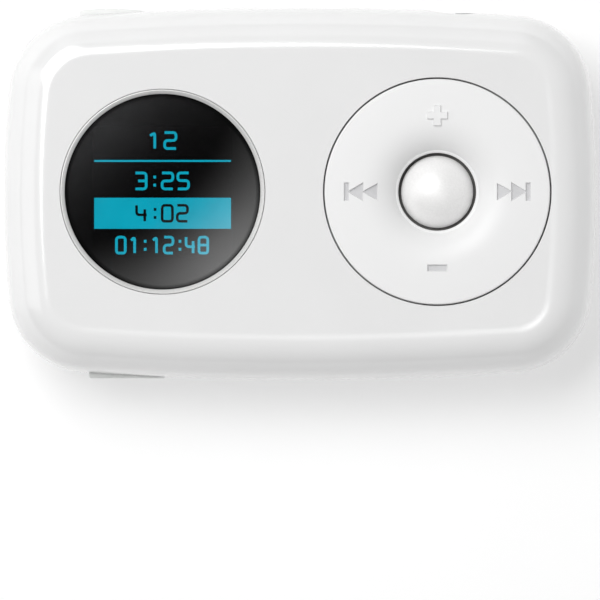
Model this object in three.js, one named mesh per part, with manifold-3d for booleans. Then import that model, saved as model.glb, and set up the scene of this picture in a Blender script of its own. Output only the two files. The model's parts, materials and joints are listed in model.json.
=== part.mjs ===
// A pocket digital audio player: a white two-shell pebble with a round display window, a round rocker
// pad with a domed play button in its middle, a power slider, a menu key, a headphone jack and a small
// USB socket. Millimetres. X runs along the player, Y up its face, Z out of its face. It lies on its
// back: the origin is the middle of the flat on the rear shell.
import * as THREE from "three";
import { mergeVertices } from "three/addons/utils/BufferGeometryUtils.js";
import Module from "manifold-3d";

const wasm = await Module();
wasm.setup();

// ---------------------------------------------------------------- driving dimensions
const WIDTH = 55.0;
const HEIGHT = 34.6;
const DEPTH = 12.8;
const LONG_EDGE_RADIUS = 286; // the bulge of the two long edges
const SHORT_EDGE_RADIUS = 97.5; // the bulge of the two short edges
const CORNER_RADIUS = 7.4;
const PARTING_Z = DEPTH / 2;
const PARTING_GAP = 0.1;
const WALL = 1.2; // side walls
const FACE_WALL = 1.3; // front and back walls
const FRONT_ROLL = 4.4; // how far in from the outline the face becomes flat
const REAR_ROLL = 5.6;
const ROLL_POWER = 2.3; // 2 is an ellipse, more is squarer
const INNER_ROLL = 0.35; // the roll inside a shell is smaller than the one outside by this
const LIP_HEIGHT = 0.8; // the lap joint between the shells
const CLEAR = 0.05; // gap between pieces that are seated on each other
const OVERSHOOT = 1; // a cutting tool runs this far past what it cuts

const FEATURE_X = 12.7; // the window and the pad lie this far each side of the middle
const FEATURE_Y = 0.15; // and this far above it
const WINDOW_X = -FEATURE_X;
const PAD_X = FEATURE_X;
const WINDOW_SIGHT_RADIUS = 9.05;
const BEZEL_RADIUS = 9.45;
const LENS_RADIUS = 9.2;
const PAD_RADIUS = 10.43;
const PAD_GAP = 0.2;
const PAD_HOLE_RADIUS = 3.6;
const PAD_FLANGE_RADIUS = 11.05;
const DISH_RADIUS = 7.2; // the pad starts to sink here
const DISH_DEPTH = 2.3; // and would be this deep at the hole, if its edge weren't rounded
const DISH_POWER = 2.4; // more keeps the slope nearer the hole
const PAD_EDGE = 0.15; // the chamfer round the pad
const HOLE_EDGE = 0.25; // the rounding round its hole
const SYMBOL_RADIUS = 7.05; // the four symbols lie this far from the pad's middle
const SYMBOL_DEPTH = 0.22;
const BUTTON_RADIUS = PAD_HOLE_RADIUS - 0.15;
const BUTTON_TOP = 12.6;
const DOME_RADIUS = 3.75; // the play button's top is part of a ball this big

const CEILING_Z = DEPTH - FACE_WALL;
const FLOOR_Z = FACE_WALL;
const BOARD_Z = 5.0; // underside of the main board
const BOARD_THICKNESS = 0.8;
const BOARD_TOP = BOARD_Z + BOARD_THICKNESS;
const KEYPAD_TOP = 9.2; // upper side of the keypad board
const KEYPAD_THICKNESS = 0.5;
const KEYPAD_SCREW_RADIUS = 12.6; // the keypad board's screws lie this far from the pad's middle
const SCREW_HOLE_GAP = 0.1; // the slack between a board and its pilots
const JACK_X = 14.4; // between two of the keypad board's screws
const COLLAR_RADIUS = 2.7;
const USB_HALF_WIDTH = 3.85;
const SLIDER_X = -17.4;
const SLIDER_TRAVEL = 1.8;
const MENU_X = -16.03;
const BATTERY = { x: [-20.8, 10.2], y: [-11.5, 6.5], z: [FLOOR_Z + 0.35, 4.7] };
const MICROPHONE_X = 8.0;
const MICROPHONE_HOLE_RADIUS = 0.45;

const BOARD_SCREW = { headZ: 4.4, headRadius: 1.15, headHeight: 0.55, shankRadius: 0.62, tipZ: 9.2 };
const BOARD_BOSS = { radius: 1.35, pilotRadius: 0.7, pilotTop: 9.6 };
const KEYPAD_SCREW = { headZ: 8.2, headRadius: 0.95, headHeight: 0.45, shankRadius: 0.45, tipZ: 11.0 };
const KEYPAD_BOSS = { radius: 1.1, pilotRadius: 0.52, pilotTop: CEILING_Z - 0.1 };

// ---------------------------------------------------------------- finishes
const FINISHES = {
  glossWhite: { color: 0xebebeb, roughness: 0.12, metalness: 0 },
  pearlSilver: { color: 0xd8d8d4, roughness: 0.22, metalness: 0.9 },
  greyPlastic: { color: 0xc9cac8, roughness: 0.35, metalness: 0 },
  smokedLens: { color: 0x141416, roughness: 0.04, metalness: 0 },
  blackFoam: { color: 0x0c0c0d, roughness: 0.9, metalness: 0 },
  displayBlack: { color: 0x08090b, roughness: 0.1, metalness: 0 },
  blackPlastic: { color: 0x1b1b1d, roughness: 0.5, metalness: 0 },
  naturalPlastic: { color: 0xd9d6cc, roughness: 0.55, metalness: 0 },
  amberFilm: { color: 0xb5742a, roughness: 0.35, metalness: 0 },
  silicone: { color: 0xdadcdc, roughness: 0.75, metalness: 0 },
  greenBoard: { color: 0x1f5c3a, roughness: 0.45, metalness: 0 },
  steel: { color: 0xb9bbbd, roughness: 0.3, metalness: 1 },
  gold: { color: 0xd9b35a, roughness: 0.25, metalness: 1 },
  foil: { color: 0xb4b8bc, roughness: 0.35, metalness: 0.8 },
  redWire: { color: 0xb01f1c, roughness: 0.5, metalness: 0 },
  blackWire: { color: 0x151515, roughness: 0.5, metalness: 0 },
};

const group = new THREE.Group();

function add(name, shape, finish) {
  const geometry = shape.isBufferGeometry ? shape : geometryOf(shape);
  const mesh = new THREE.Mesh(geometry, new THREE.MeshStandardMaterial(FINISHES[finish]));
  mesh.name = name;
  group.add(mesh);
}

// ---------------------------------------------------------------- solids and booleans
function solid(geometry) {
  const bare = geometry.index ? geometry.toNonIndexed() : geometry.clone();
  bare.deleteAttribute("normal");
  bare.deleteAttribute("uv");
  const merged = mergeVertices(bare, 1e-4);
  return new wasm.Manifold(
    new wasm.Mesh({
      numProp: 3,
      vertProperties: merged.attributes.position.array,
      triVerts: new Uint32Array(merged.index.array),
    }),
  );
}

function geometryOf(manifold) {
  const mesh = manifold.getMesh();
  return new THREE.BufferGeometry()
    .setAttribute("position", new THREE.BufferAttribute(new Float32Array(mesh.vertProperties), 3))
    .setIndex(new THREE.BufferAttribute(new Uint32Array(mesh.triVerts), 1));
}

const union = (pieces) => pieces.reduce((whole, piece) => whole.add(piece));
const cut = (body, tools) => tools.reduce((rest, tool) => rest.subtract(tool), body);

function block([x0, x1], [y0, y1], [z0, z1]) {
  const box = new THREE.BoxGeometry(x1 - x0, y1 - y0, z1 - z0);
  return solid(box.translate((x0 + x1) / 2, (y0 + y1) / 2, (z0 + z1) / 2));
}

// A round bar along Z, centred on x, y.
function rod(radius, [z0, z1], [x, y], sides = 24) {
  const bar = new THREE.CylinderGeometry(radius, radius, z1 - z0, sides);
  return solid(bar.rotateX(Math.PI / 2).translate(x, y, (z0 + z1) / 2));
}

// A round bar along Y, centred on x, z.
function rodAlongY(radius, [y0, y1], [x, z], sides = 24) {
  const bar = new THREE.CylinderGeometry(radius, radius, y1 - y0, sides);
  return solid(bar.translate(x, (y0 + y1) / 2, z));
}

// A span made longer at both ends, for a cutting tool that goes right through.
const through = ([low, high]) => [low - OVERSHOOT, high + OVERSHOOT];

// A flat shape standing on the XY plane, from z0 to z1.
function prism(points, [z0, z1]) {
  const shape = new THREE.Shape(points.map(([x, y]) => new THREE.Vector2(x, y)));
  const raised = new THREE.ExtrudeGeometry(shape, { depth: z1 - z0, bevelEnabled: false });
  return solid(raised.translate(0, 0, z0));
}

// A shape drawn in X and Z, running along Y from y0 to y1.
function prismAlongY(points, [y0, y1]) {
  const flipped = points.map(([x, z]) => [x, -z]);
  return turnUpright(prism(flipped, [y0, y1]));
}

// Turns Z into Y, and Y into minus Z.
function turnUpright(manifold) {
  return manifold.rotate([-90, 0, 0]);
}

// A shape drawn in Y and Z, running along X from x0 to x1.
function prismAlongX(points, [x0, x1]) {
  return prism(points, [x0, x1]).rotate([90, 0, 90]);
}

// A solid of revolution about Z, from a closed profile of [radius, z] points, centred on x, y.
function turned(profile, [x, y], segments = 40) {
  const points = profile.map(([r, z]) => new THREE.Vector2(r, z));
  if (THREE.ShapeUtils.area(points) < 0) points.reverse();
  if (points.every((p) => p.x > 0)) points.push(points[0].clone());
  const lathe = new THREE.LatheGeometry(points, segments);
  return solid(lathe.rotateX(Math.PI / 2).translate(x, y, 0));
}

function roundedRectangle([x0, x1], [y0, y1], radius, steps = 4) {
  const corners = [
    [x1 - radius, y1 - radius, 0],
    [x0 + radius, y1 - radius, 1],
    [x0 + radius, y0 + radius, 2],
    [x1 - radius, y0 + radius, 3],
  ];
  const points = [];
  for (const [cx, cy, quarter] of corners) {
    for (let k = 0; k <= steps; k++) {
      const angle = ((quarter + k / steps) * Math.PI) / 2;
      points.push([cx + radius * Math.cos(angle), cy + radius * Math.sin(angle)]);
    }
  }
  return points;
}

// A point round the pad, at a radius and an angle from +X.
function aroundPad(radius, degrees) {
  const angle = THREE.MathUtils.degToRad(degrees);
  return [PAD_X + radius * Math.cos(angle), FEATURE_Y + radius * Math.sin(angle)];
}

const WINDOW_CENTRE = [WINDOW_X, FEATURE_Y];
const PAD_CENTRE = [PAD_X, FEATURE_Y];

// ---------------------------------------------------------------- the case outline
// Bulging long and short edges joined by round corners, all arcs tangent to each other.
const longCentre = new THREE.Vector2(0, HEIGHT / 2 - LONG_EDGE_RADIUS);
const shortCentre = new THREE.Vector2(WIDTH / 2 - SHORT_EDGE_RADIUS, 0);
const cornerCentre = tangentCornerCentre();

function tangentCornerCentre() {
  const fromLong = LONG_EDGE_RADIUS - CORNER_RADIUS;
  const fromShort = SHORT_EDGE_RADIUS - CORNER_RADIUS;
  const span = shortCentre.clone().sub(longCentre);
  const distance = span.length();
  const along = (fromLong ** 2 - fromShort ** 2 + distance ** 2) / (2 * distance);
  const across = Math.sqrt(fromLong ** 2 - along ** 2);
  const direction = span.divideScalar(distance);
  const sideways = new THREE.Vector2(direction.y, -direction.x);
  return longCentre.clone().addScaledVector(direction, along).addScaledVector(sideways, across);
}

function arcPoints(centre, radius, from, to, steps) {
  return Array.from({ length: steps + 1 }, (_, k) => {
    const angle = from + ((to - from) * k) / steps;
    return [centre.x + radius * Math.cos(angle), centre.y + radius * Math.sin(angle)];
  });
}

// The outline moved in by inset, anticlockwise from the +X axis. Every inset gives the same number of points.
function outline(inset) {
  const shortEnd = cornerCentre.clone().sub(shortCentre).angle();
  const longStart = cornerCentre.clone().sub(longCentre).angle();
  const quarter = [
    ...arcPoints(shortCentre, SHORT_EDGE_RADIUS - inset, 0, shortEnd, 3).slice(0, -1),
    ...arcPoints(cornerCentre, CORNER_RADIUS - inset, shortEnd, longStart, 7).slice(0, -1),
    ...arcPoints(longCentre, LONG_EDGE_RADIUS - inset, longStart, Math.PI / 2, 4),
  ];
  const mirrored = (sx, sy) => quarter.map(([x, y]) => [x * sx, y * sy]);
  return [
    ...quarter.slice(0, -1),
    ...mirrored(-1, 1).reverse().slice(0, -1),
    ...mirrored(-1, -1).slice(0, -1),
    ...mirrored(1, -1).reverse().slice(0, -1),
  ];
}

// A closed solid through outlines at rising z, each { inset, z }.
function loft(rings) {
  const sections = rings.map(({ inset, z }) => outline(inset).map(([x, y]) => [x, y, z]));
  const count = sections[0].length;
  const triangles = [];
  for (let level = 0; level + 1 < sections.length; level++) {
    for (let i = 0; i < count; i++) {
      const next = (i + 1) % count;
      const low = sections[level];
      const high = sections[level + 1];
      triangles.push(low[i], low[next], high[next], low[i], high[next], high[i]);
    }
  }
  const flat = sections[0].map(([x, y]) => new THREE.Vector2(x, y));
  for (const [a, b, c] of THREE.ShapeUtils.triangulateShape(flat, [])) {
    const bottom = sections[0];
    const top = sections[sections.length - 1];
    triangles.push(bottom[c], bottom[b], bottom[a], top[a], top[b], top[c]);
  }
  const positions = new THREE.BufferAttribute(new Float32Array(triangles.flat()), 3);
  return solid(new THREE.BufferGeometry().setAttribute("position", positions));
}

// The rings that carry the outline from the side wall at wallZ over to the flat at faceZ.
function rollOff({ wallZ, faceZ, inset = 0, roll, steps = 5 }) {
  const rings = [];
  for (let k = 0; k <= steps; k++) {
    const angle = (Math.PI / 2) * (k / steps);
    const sideways = Math.cos(angle) ** (2 / ROLL_POWER);
    const outwards = Math.sin(angle) ** (2 / ROLL_POWER);
    rings.push({
      inset: inset + roll * (k === steps ? 1 : 1 - sideways),
      z: wallZ + (faceZ - wallZ) * (k === steps ? 1 : outwards),
    });
  }
  return faceZ > wallZ ? rings : rings.reverse();
}

// ---------------------------------------------------------------- openings in the side walls
// The right half of the USB socket's outline as [x, z, lift]: a grown outline moves each point by lift in Z.
const usbHalf = [
  [USB_HALF_WIDTH, 8.4, 1],
  [USB_HALF_WIDTH, 5.9, -0.5],
  [3.0, 4.9, -0.5],
  [3.0, 4.4, -1],
];
const usbOutline = (grow) => {
  const right = usbHalf.map(([x, z, lift]) => [x + grow, z + lift * grow]);
  const left = right.map(([x, z]) => [-x, z]);
  return [...left, ...right.reverse()];
};
const SLIDER_HALF = 2.95; // half the knob's length
const SLIDER_Z = [5.1, 7.7];
const MENU_HALF = 3.53;
const MENU_Z = [5.2, 7.6];
const PORT_GAP = 0.12;
const SIDE_REACH = 4; // how far in from the long edges the openings are cut

function sideOpenings() {
  const outside = HEIGHT / 2 + OVERSHOOT;
  const inside = HEIGHT / 2 - SIDE_REACH;
  const grow = ([z0, z1]) => [z0 - PORT_GAP, z1 + PORT_GAP];
  const sliderSlot = [SLIDER_X - SLIDER_HALF - PORT_GAP, SLIDER_X + SLIDER_HALF + SLIDER_TRAVEL + PORT_GAP];
  const menuSlot = [MENU_X - MENU_HALF - PORT_GAP, MENU_X + MENU_HALF + PORT_GAP];
  return [
    prismAlongY(usbOutline(PORT_GAP), [inside, outside]),
    rodAlongY(COLLAR_RADIUS + 2 * CLEAR, [inside, outside], [JACK_X, PARTING_Z]),
    block(sliderSlot, [inside, outside], grow(SLIDER_Z)),
    block(menuSlot, [-outside, -inside], grow(MENU_Z)),
    rodAlongY(MICROPHONE_HOLE_RADIUS, [-outside, -inside], [MICROPHONE_X, PARTING_Z], 12),
  ];
}

// ---------------------------------------------------------------- shells
const boardScrews = [
  [-22.6, 8.6],
  [-22.6, -8.6],
  [22.6, 8.6],
  [22.6, -8.6],
];
const BOSS_ROOT_Z = CEILING_Z + 0.4; // the bosses run this far into the front wall
const keypadScrews = [60, 120, 240, 300].map((degrees) => aroundPad(KEYPAD_SCREW_RADIUS, degrees));

function frontShell() {
  const outer = loft(rollOff({ wallZ: PARTING_Z + PARTING_GAP / 2, faceZ: DEPTH, roll: FRONT_ROLL }));
  const hollow = loft([
    { inset: WALL, z: PARTING_Z - OVERSHOOT },
    ...rollOff({ wallZ: PARTING_Z, faceZ: CEILING_Z, inset: WALL, roll: FRONT_ROLL - INNER_ROLL }),
  ]);
  const rebate = loft([
    { inset: WALL / 2, z: PARTING_Z - OVERSHOOT },
    { inset: WALL / 2, z: PARTING_Z + LIP_HEIGHT + 2 * CLEAR },
  ]);
  const holes = [
    rod(BEZEL_RADIUS + CLEAR, [CEILING_Z - OVERSHOOT, DEPTH + OVERSHOOT], WINDOW_CENTRE, 48),
    rod(PAD_RADIUS + PAD_GAP, [CEILING_Z - OVERSHOOT, DEPTH + OVERSHOOT], PAD_CENTRE, 48),
  ];
  const bosses = [
    ...boardScrews.map((at) => rod(BOARD_BOSS.radius, [BOARD_TOP + CLEAR, BOSS_ROOT_Z], at, 16)),
    ...keypadScrews.map((at) => rod(KEYPAD_BOSS.radius, [KEYPAD_TOP + CLEAR, BOSS_ROOT_Z], at, 16)),
  ];
  const pilots = [
    ...boardScrews.map((at) => rod(BOARD_BOSS.pilotRadius, [BOARD_Z, BOARD_BOSS.pilotTop], at, 12)),
    ...keypadScrews.map((at) => rod(KEYPAD_BOSS.pilotRadius, [BOARD_Z, KEYPAD_BOSS.pilotTop], at, 12)),
  ];
  const skin = cut(outer, [hollow, rebate, ...holes]);
  return cut(union([skin, ...bosses]), [...pilots, ...sideOpenings()]);
}

// Three ribs on the floor keep the battery in its place.
function rearShell() {
  const outer = loft(rollOff({ wallZ: PARTING_Z - PARTING_GAP / 2, faceZ: 0, roll: REAR_ROLL }));
  const hollow = loft([
    ...rollOff({ wallZ: PARTING_Z, faceZ: FLOOR_Z, inset: WALL, roll: REAR_ROLL - INNER_ROLL }),
    { inset: WALL, z: PARTING_Z + LIP_HEIGHT + OVERSHOOT },
  ]);
  const lip = loft([
    { inset: WALL / 2 + CLEAR, z: PARTING_Z - LIP_HEIGHT },
    { inset: WALL / 2 + CLEAR, z: PARTING_Z + LIP_HEIGHT },
  ]);
  const ribZ = [FLOOR_Z - 0.3, 3.2];
  const beside = (edge, away) => [edge + away * 0.2, edge + away * 0.8].sort((a, b) => a - b);
  const ribs = [
    block(beside(BATTERY.x[0], -1), [-6, 3], ribZ),
    block([-17, -3], beside(BATTERY.y[1], 1), ribZ),
    block([-17, 6], beside(BATTERY.y[0], -1), ribZ),
  ];
  return cut(union([cut(outer.add(lip), [hollow]), ...ribs]), sideOpenings());
}

// ---------------------------------------------------------------- display
const LENS_TOP = 12.2;
const LENS_THICKNESS = 1.0;
const LENS_CROWN = 0.2;
const BEZEL_TOP = DEPTH - 0.02;
const BEZEL_LIP = 0.1; // the flat round the bezel's top
const BEZEL_SLEEVE = 0.2;
const BEZEL_FLANGE_RADIUS = BEZEL_RADIUS + 0.45;
const BEZEL_FLANGE_Z = [CEILING_Z - 0.65, CEILING_Z - 2 * CLEAR];

// A ring that slopes down to the lens, on a sleeve whose flange is behind the front wall.
function windowBezel() {
  const sleeve = BEZEL_RADIUS - BEZEL_SLEEVE;
  const [flangeFoot, flangeTop] = BEZEL_FLANGE_Z;
  return turned(
    [
      [WINDOW_SIGHT_RADIUS, LENS_TOP + CLEAR],
      [sleeve, LENS_TOP + CLEAR],
      [sleeve, flangeFoot],
      [BEZEL_FLANGE_RADIUS, flangeFoot],
      [BEZEL_FLANGE_RADIUS, flangeTop],
      [BEZEL_RADIUS, flangeTop],
      [BEZEL_RADIUS, BEZEL_TOP],
      [BEZEL_RADIUS - BEZEL_LIP, BEZEL_TOP],
      [WINDOW_SIGHT_RADIUS, LENS_TOP + CLEAR + 0.15],
    ],
    WINDOW_CENTRE,
    48,
  );
}

// A disc whose sight area is gently crowned.
function windowLens() {
  const reach = WINDOW_SIGHT_RADIUS - 2 * CLEAR;
  const crown = [1, 0.5, 0].map((share) => [reach * share, LENS_TOP + LENS_CROWN * (1 - share ** 2)]);
  const back = LENS_TOP - LENS_THICKNESS;
  return turned([[0, back], [LENS_RADIUS, back], [LENS_RADIUS, LENS_TOP], ...crown], WINDOW_CENTRE, 48);
}

// The display stack, each piece under the last: gasket, panel, frame.
const under = (upper, thickness) => [upper - CLEAR - thickness, upper - CLEAR];
const ACTIVE_HALF = [6.45, 6.1]; // half the width and height of the gasket's window
const GASKET_Z = under(LENS_TOP - LENS_THICKNESS, 0.25);
const PANEL_HALF = [8.3, 8.1];
const PANEL_Z = under(GASKET_Z[0], 1.0);
const FRAME_HALF = 8.4;
const FRAME_Z = under(PANEL_Z[0], 0.6);
const FRAME_LEG = { x: 7.6, y: 7.3, radius: 0.8 };

function displayGasket() {
  const [halfX, halfY] = ACTIVE_HALF;
  const acrossX = [WINDOW_X - halfX, WINDOW_X + halfX];
  const window = roundedRectangle(acrossX, [FEATURE_Y - halfY, FEATURE_Y + halfY], 0.6);
  return rod(LENS_RADIUS - 2 * CLEAR, GASKET_Z, WINDOW_CENTRE, 48).subtract(prism(window, through(GASKET_Z)));
}

function displayPanel() {
  const [halfX, halfY] = PANEL_HALF;
  return block([WINDOW_X - halfX, WINDOW_X + halfX], [-halfY, halfY], PANEL_Z);
}

// A plate on four legs, with a relief in its middle.
function displayFrame() {
  const plate = block([WINDOW_X - FRAME_HALF, WINDOW_X + FRAME_HALF], [-FRAME_HALF, FRAME_HALF], FRAME_Z);
  const legZ = [BOARD_TOP + CLEAR, FRAME_Z[0] + 2 * CLEAR];
  const legs = [];
  for (const x of [WINDOW_X - FRAME_LEG.x, WINDOW_X + FRAME_LEG.x]) {
    for (const y of [-FRAME_LEG.y, FRAME_LEG.y]) legs.push(rod(FRAME_LEG.radius, legZ, [x, y], 12));
  }
  return union([plate, ...legs]).subtract(block([WINDOW_X - 5.5, WINDOW_X + 5.5], [-5, 5], through(FRAME_Z)));
}

const DISPLAY_FLEX_X = -9.0; // the display's flex is beside the menu switch
const FLEX_THICKNESS = 0.16;
// Each flex runs from its panel or board down to its connector, as [y, z] points.
const displayFlexPath = [[-8.2, 10.3], [-9.1, 10.1], [-9.5, 9.0], [-9.7, 7.4], [-10.6, 6.5], [-11.6, 6.4]];
const keypadFlexPath = [[-9.0, 8.6], [-10.4, 8.5], [-11.1, 7.9], [-10.6, 7.0], [-9.4, 6.5], [-8.6, 6.4]];

// A thin ribbon along a path, centred on x.
function ribbon(path, x, width) {
  const curve = new THREE.SplineCurve(path.map(([y, z]) => new THREE.Vector2(y, z)));
  const steps = 12;
  const side = (sign) =>
    curve.getPoints(steps).map((p, k) => {
      const normal = curve.getTangent(k / steps).rotateAround(new THREE.Vector2(), Math.PI / 2);
      return [p.x + (sign * normal.x * FLEX_THICKNESS) / 2, p.y + (sign * normal.y * FLEX_THICKNESS) / 2];
    });
  return prismAlongX([...side(-1), ...side(1).reverse()], [x - width / 2, x + width / 2]);
}

// ---------------------------------------------------------------- rocker pad and play button
const PAD_SKIRT_Z = 10.55;
const PAD_FLANGE_TOP = 10.9; // low enough to rock without touching the shell
const PAD_CAVITY = { inner: PAD_HOLE_RADIUS + 3.4, outer: PAD_RADIUS - 1.3, top: 11.55 };
const PAD_TUBE = { radius: PAD_HOLE_RADIUS + 1.0, foot: PAD_SKIRT_Z + 0.3 }; // the wall round the hole

// The dish is flat at its rim and steep at the hole, as a trumpet's mouth is.
function dishZ(r) {
  const towardsHole = THREE.MathUtils.clamp((DISH_RADIUS - r) / (DISH_RADIUS - PAD_HOLE_RADIUS), 0, 1);
  return DEPTH - DISH_DEPTH * (1 - Math.sqrt(1 - towardsHole ** DISH_POWER));
}

function padBody() {
  const lip = PAD_HOLE_RADIUS + HOLE_EDGE;
  const dish = Array.from({ length: 7 }, (_, k) => {
    const r = lip + (DISH_RADIUS - lip) * (k / 6) ** 1.5;
    return [r, dishZ(r)];
  });
  return turned(
    [
      [PAD_HOLE_RADIUS, PAD_SKIRT_Z],
      [PAD_HOLE_RADIUS, dishZ(lip) - HOLE_EDGE],
      ...dish,
      [PAD_RADIUS - PAD_EDGE, DEPTH],
      [PAD_RADIUS, DEPTH - PAD_EDGE],
      [PAD_RADIUS, PAD_FLANGE_TOP],
      [PAD_FLANGE_RADIUS, PAD_FLANGE_TOP],
      [PAD_FLANGE_RADIUS, PAD_SKIRT_Z],
      [PAD_CAVITY.outer, PAD_SKIRT_Z],
      [PAD_CAVITY.outer, PAD_CAVITY.top],
      [PAD_CAVITY.inner, PAD_CAVITY.top],
      [PAD_TUBE.radius, PAD_TUBE.foot],
      [PAD_TUBE.radius, PAD_SKIRT_Z],
    ],
    PAD_CENTRE,
    48,
  );
}

const quarters = [0, 90, 180, 270];
const symbolSpan = [DEPTH - 2, DEPTH + OVERSHOOT];
const PLUS = { half: 0.97, arm: 0.35 }; // arm is half an arm's width
const MINUS = { half: 0.88, arm: 0.28 };
const SKIP = { half: 1.53, rise: 0.79, arrow: 1.35, bar: 0.36, bite: 0.02 }; // rise is half its height

function plusSign([x, y]) {
  const { half, arm } = PLUS;
  return union([
    block([x - half, x + half], [y - arm, y + arm], symbolSpan),
    block([x - arm, x + arm], [y - half, y + half], symbolSpan),
  ]);
}

function minusSign([x, y]) {
  return block([x - MINUS.half, x + MINUS.half], [y - MINUS.arm, y + MINUS.arm], symbolSpan);
}

// Two arrowheads and a bar, each tip running a little into what is before it. heading is 1 or -1.
function skipSign([x, y], heading) {
  const at = (along) => x + heading * along;
  const arrow = (start) => {
    const corners = [[at(start), y - SKIP.rise], [at(start + SKIP.arrow), y], [at(start), y + SKIP.rise]];
    return prism(heading > 0 ? corners : corners.reverse(), symbolSpan);
  };
  const barFoot = SKIP.half - SKIP.bar;
  const bar = [at(barFoot), at(SKIP.half)].sort((a, b) => a - b);
  const step = SKIP.arrow - SKIP.bite;
  const upright = block(bar, [y - SKIP.rise, y + SKIP.rise], symbolSpan);
  return [arrow(barFoot - 2 * step), arrow(barFoot - step), upright];
}

const POST = { radius: 0.8, z: [9.75, 11.8] }; // a post under each sign presses its dome

// The plus is raised, the other signs are sunk, and both follow the pad's surface.
function controlPad() {
  const body = padBody();
  const raised = plusSign(aroundPad(SYMBOL_RADIUS, 90)).intersect(body.translate([0, 0, SYMBOL_DEPTH]));
  const floor = body.translate([0, 0, -SYMBOL_DEPTH]);
  const sunk = [
    minusSign(aroundPad(SYMBOL_RADIUS, 270)),
    ...skipSign(aroundPad(SYMBOL_RADIUS, 180), -1),
    ...skipSign(aroundPad(SYMBOL_RADIUS, 0), 1),
  ];
  const posts = quarters.map((degrees) => rod(POST.radius, POST.z, aroundPad(SYMBOL_RADIUS, degrees), 12));
  return cut(union([body, raised, ...posts]), sunk.map((sign) => sign.subtract(floor)));
}

const KEYMAT = { inner: 4.4, outer: 9.6, z: [9.85, 10.2], postHole: POST.radius + 0.35 };

function keymat() {
  const { inner, outer, z } = KEYMAT;
  const ring = turned([[inner, z[0]], [outer, z[0]], [outer, z[1]], [inner, z[1]]], PAD_CENTRE, 36);
  const hole = (degrees) => rod(KEYMAT.postHole, through(z), aroundPad(SYMBOL_RADIUS, degrees), 12);
  return cut(ring, quarters.map(hole));
}

const BUTTON_FLANGE = { radius: BUTTON_RADIUS + 0.6, z: [9.95, 10.25] };
const BUTTON_NUB_RADIUS = 0.9;

// A ball's cap on a flange that the pad holds down, with a nub under it that presses its dome.
function playButton() {
  const edge = Math.asin(BUTTON_RADIUS / DOME_RADIUS);
  const cap = Array.from({ length: 7 }, (_, k) => {
    const angle = edge * (1 - k / 6);
    return [DOME_RADIUS * Math.sin(angle), BUTTON_TOP - DOME_RADIUS * (1 - Math.cos(angle))];
  });
  const [flangeFoot, flangeTop] = BUTTON_FLANGE.z;
  const profile = [
    [0, POST.z[0]],
    [BUTTON_NUB_RADIUS, POST.z[0]],
    [BUTTON_NUB_RADIUS, flangeFoot],
    [BUTTON_FLANGE.radius, flangeFoot],
    [BUTTON_FLANGE.radius, flangeTop],
    [BUTTON_RADIUS, flangeTop],
    ...cap,
  ];
  return turned(profile, PAD_CENTRE, 32);
}

const KEYPAD_BOARD = { radius: 9.9, earRadius: 1.5, armHalf: 1.3 };

// A disc with an ear on an arm for each of its screws.
function keypadBoard() {
  const { radius, earRadius, armHalf } = KEYPAD_BOARD;
  const slab = [KEYPAD_TOP - KEYPAD_THICKNESS, KEYPAD_TOP];
  const disc = rod(radius, slab, PAD_CENTRE, 32);
  const ears = keypadScrews.map((at) => rod(earRadius, slab, at, 16));
  const arms = keypadScrews.map(([x, y]) => {
    const turn = THREE.MathUtils.radToDeg(Math.atan2(y - FEATURE_Y, x - PAD_X));
    const arm = block([0, KEYPAD_SCREW_RADIUS], [-armHalf, armHalf], slab);
    return arm.rotate([0, 0, turn]).translate([PAD_X, FEATURE_Y, 0]);
  });
  const hole = KEYPAD_BOSS.pilotRadius + SCREW_HOLE_GAP;
  return cut(union([disc, ...ears, ...arms]), keypadScrews.map((at) => rod(hole, through(slab), at, 12)));
}

const SNAP_DOME = { lift: 0.02, radius: 2.0, rim: 0.08, shoulder: [1.4, 0.2], height: 0.24 };

function snapDome(at) {
  const { lift, radius, rim, shoulder, height } = SNAP_DOME;
  const profile = [[0, 0], [radius, 0], [radius, rim], shoulder, [0, height]];
  return turned(profile.map(([r, z]) => [r, KEYPAD_TOP + lift + z]), at, 16);
}

// A small screw with a cross recess in its head, pointing up into its boss.
function screw([x, y], { headZ, headRadius, headHeight, shankRadius, tipZ }) {
  const body = turned(
    [
      [0, headZ],
      [headRadius, headZ],
      [headRadius, headZ + headHeight],
      [shankRadius, headZ + headHeight],
      [shankRadius, tipZ - shankRadius],
      [0, tipZ],
    ],
    [x, y],
    10,
  );
  const arm = headRadius * 0.6;
  const half = headRadius * 0.14;
  const recess = [headZ - OVERSHOOT, headZ + headHeight * 0.6];
  return cut(body, [
    block([x - arm, x + arm], [y - half, y + half], recess),
    block([x - half, x + half], [y - arm, y + arm], recess),
  ]);
}

// ---------------------------------------------------------------- main board and what is on it
const BOARD_HALF = [25, 13.4];
const BOARD_CORNER = 4.6;
const NOTCH_GAP = 0.25; // round the two sockets, which the board is notched for

function mainBoard() {
  const [halfX, halfY] = BOARD_HALF;
  const slab = [BOARD_Z, BOARD_TOP];
  const edge = halfY + OVERSHOOT;
  const notch = (x, half, back) => {
    const acrossX = [x - half - NOTCH_GAP, x + half + NOTCH_GAP];
    return block(acrossX, [back - NOTCH_GAP, edge], through(slab));
  };
  const hole = BOARD_BOSS.pilotRadius + SCREW_HOLE_GAP;
  return cut(prism(roundedRectangle([-halfX, halfX], [-halfY, halfY], BOARD_CORNER, 6), slab), [
    notch(0, USB_HALF_WIDTH, USB_BACK),
    notch(JACK_X, JACK_HALF[0], JACK_BACK),
    ...boardScrews.map((at) => rod(hole, through(slab), at, 12)),
  ]);
}

function chip([x, y], [width, length], height) {
  const foot = BOARD_TOP + CLEAR;
  return block([x - width / 2, x + width / 2], [y - length / 2, y + length / 2], [foot, foot + height]);
}

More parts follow.
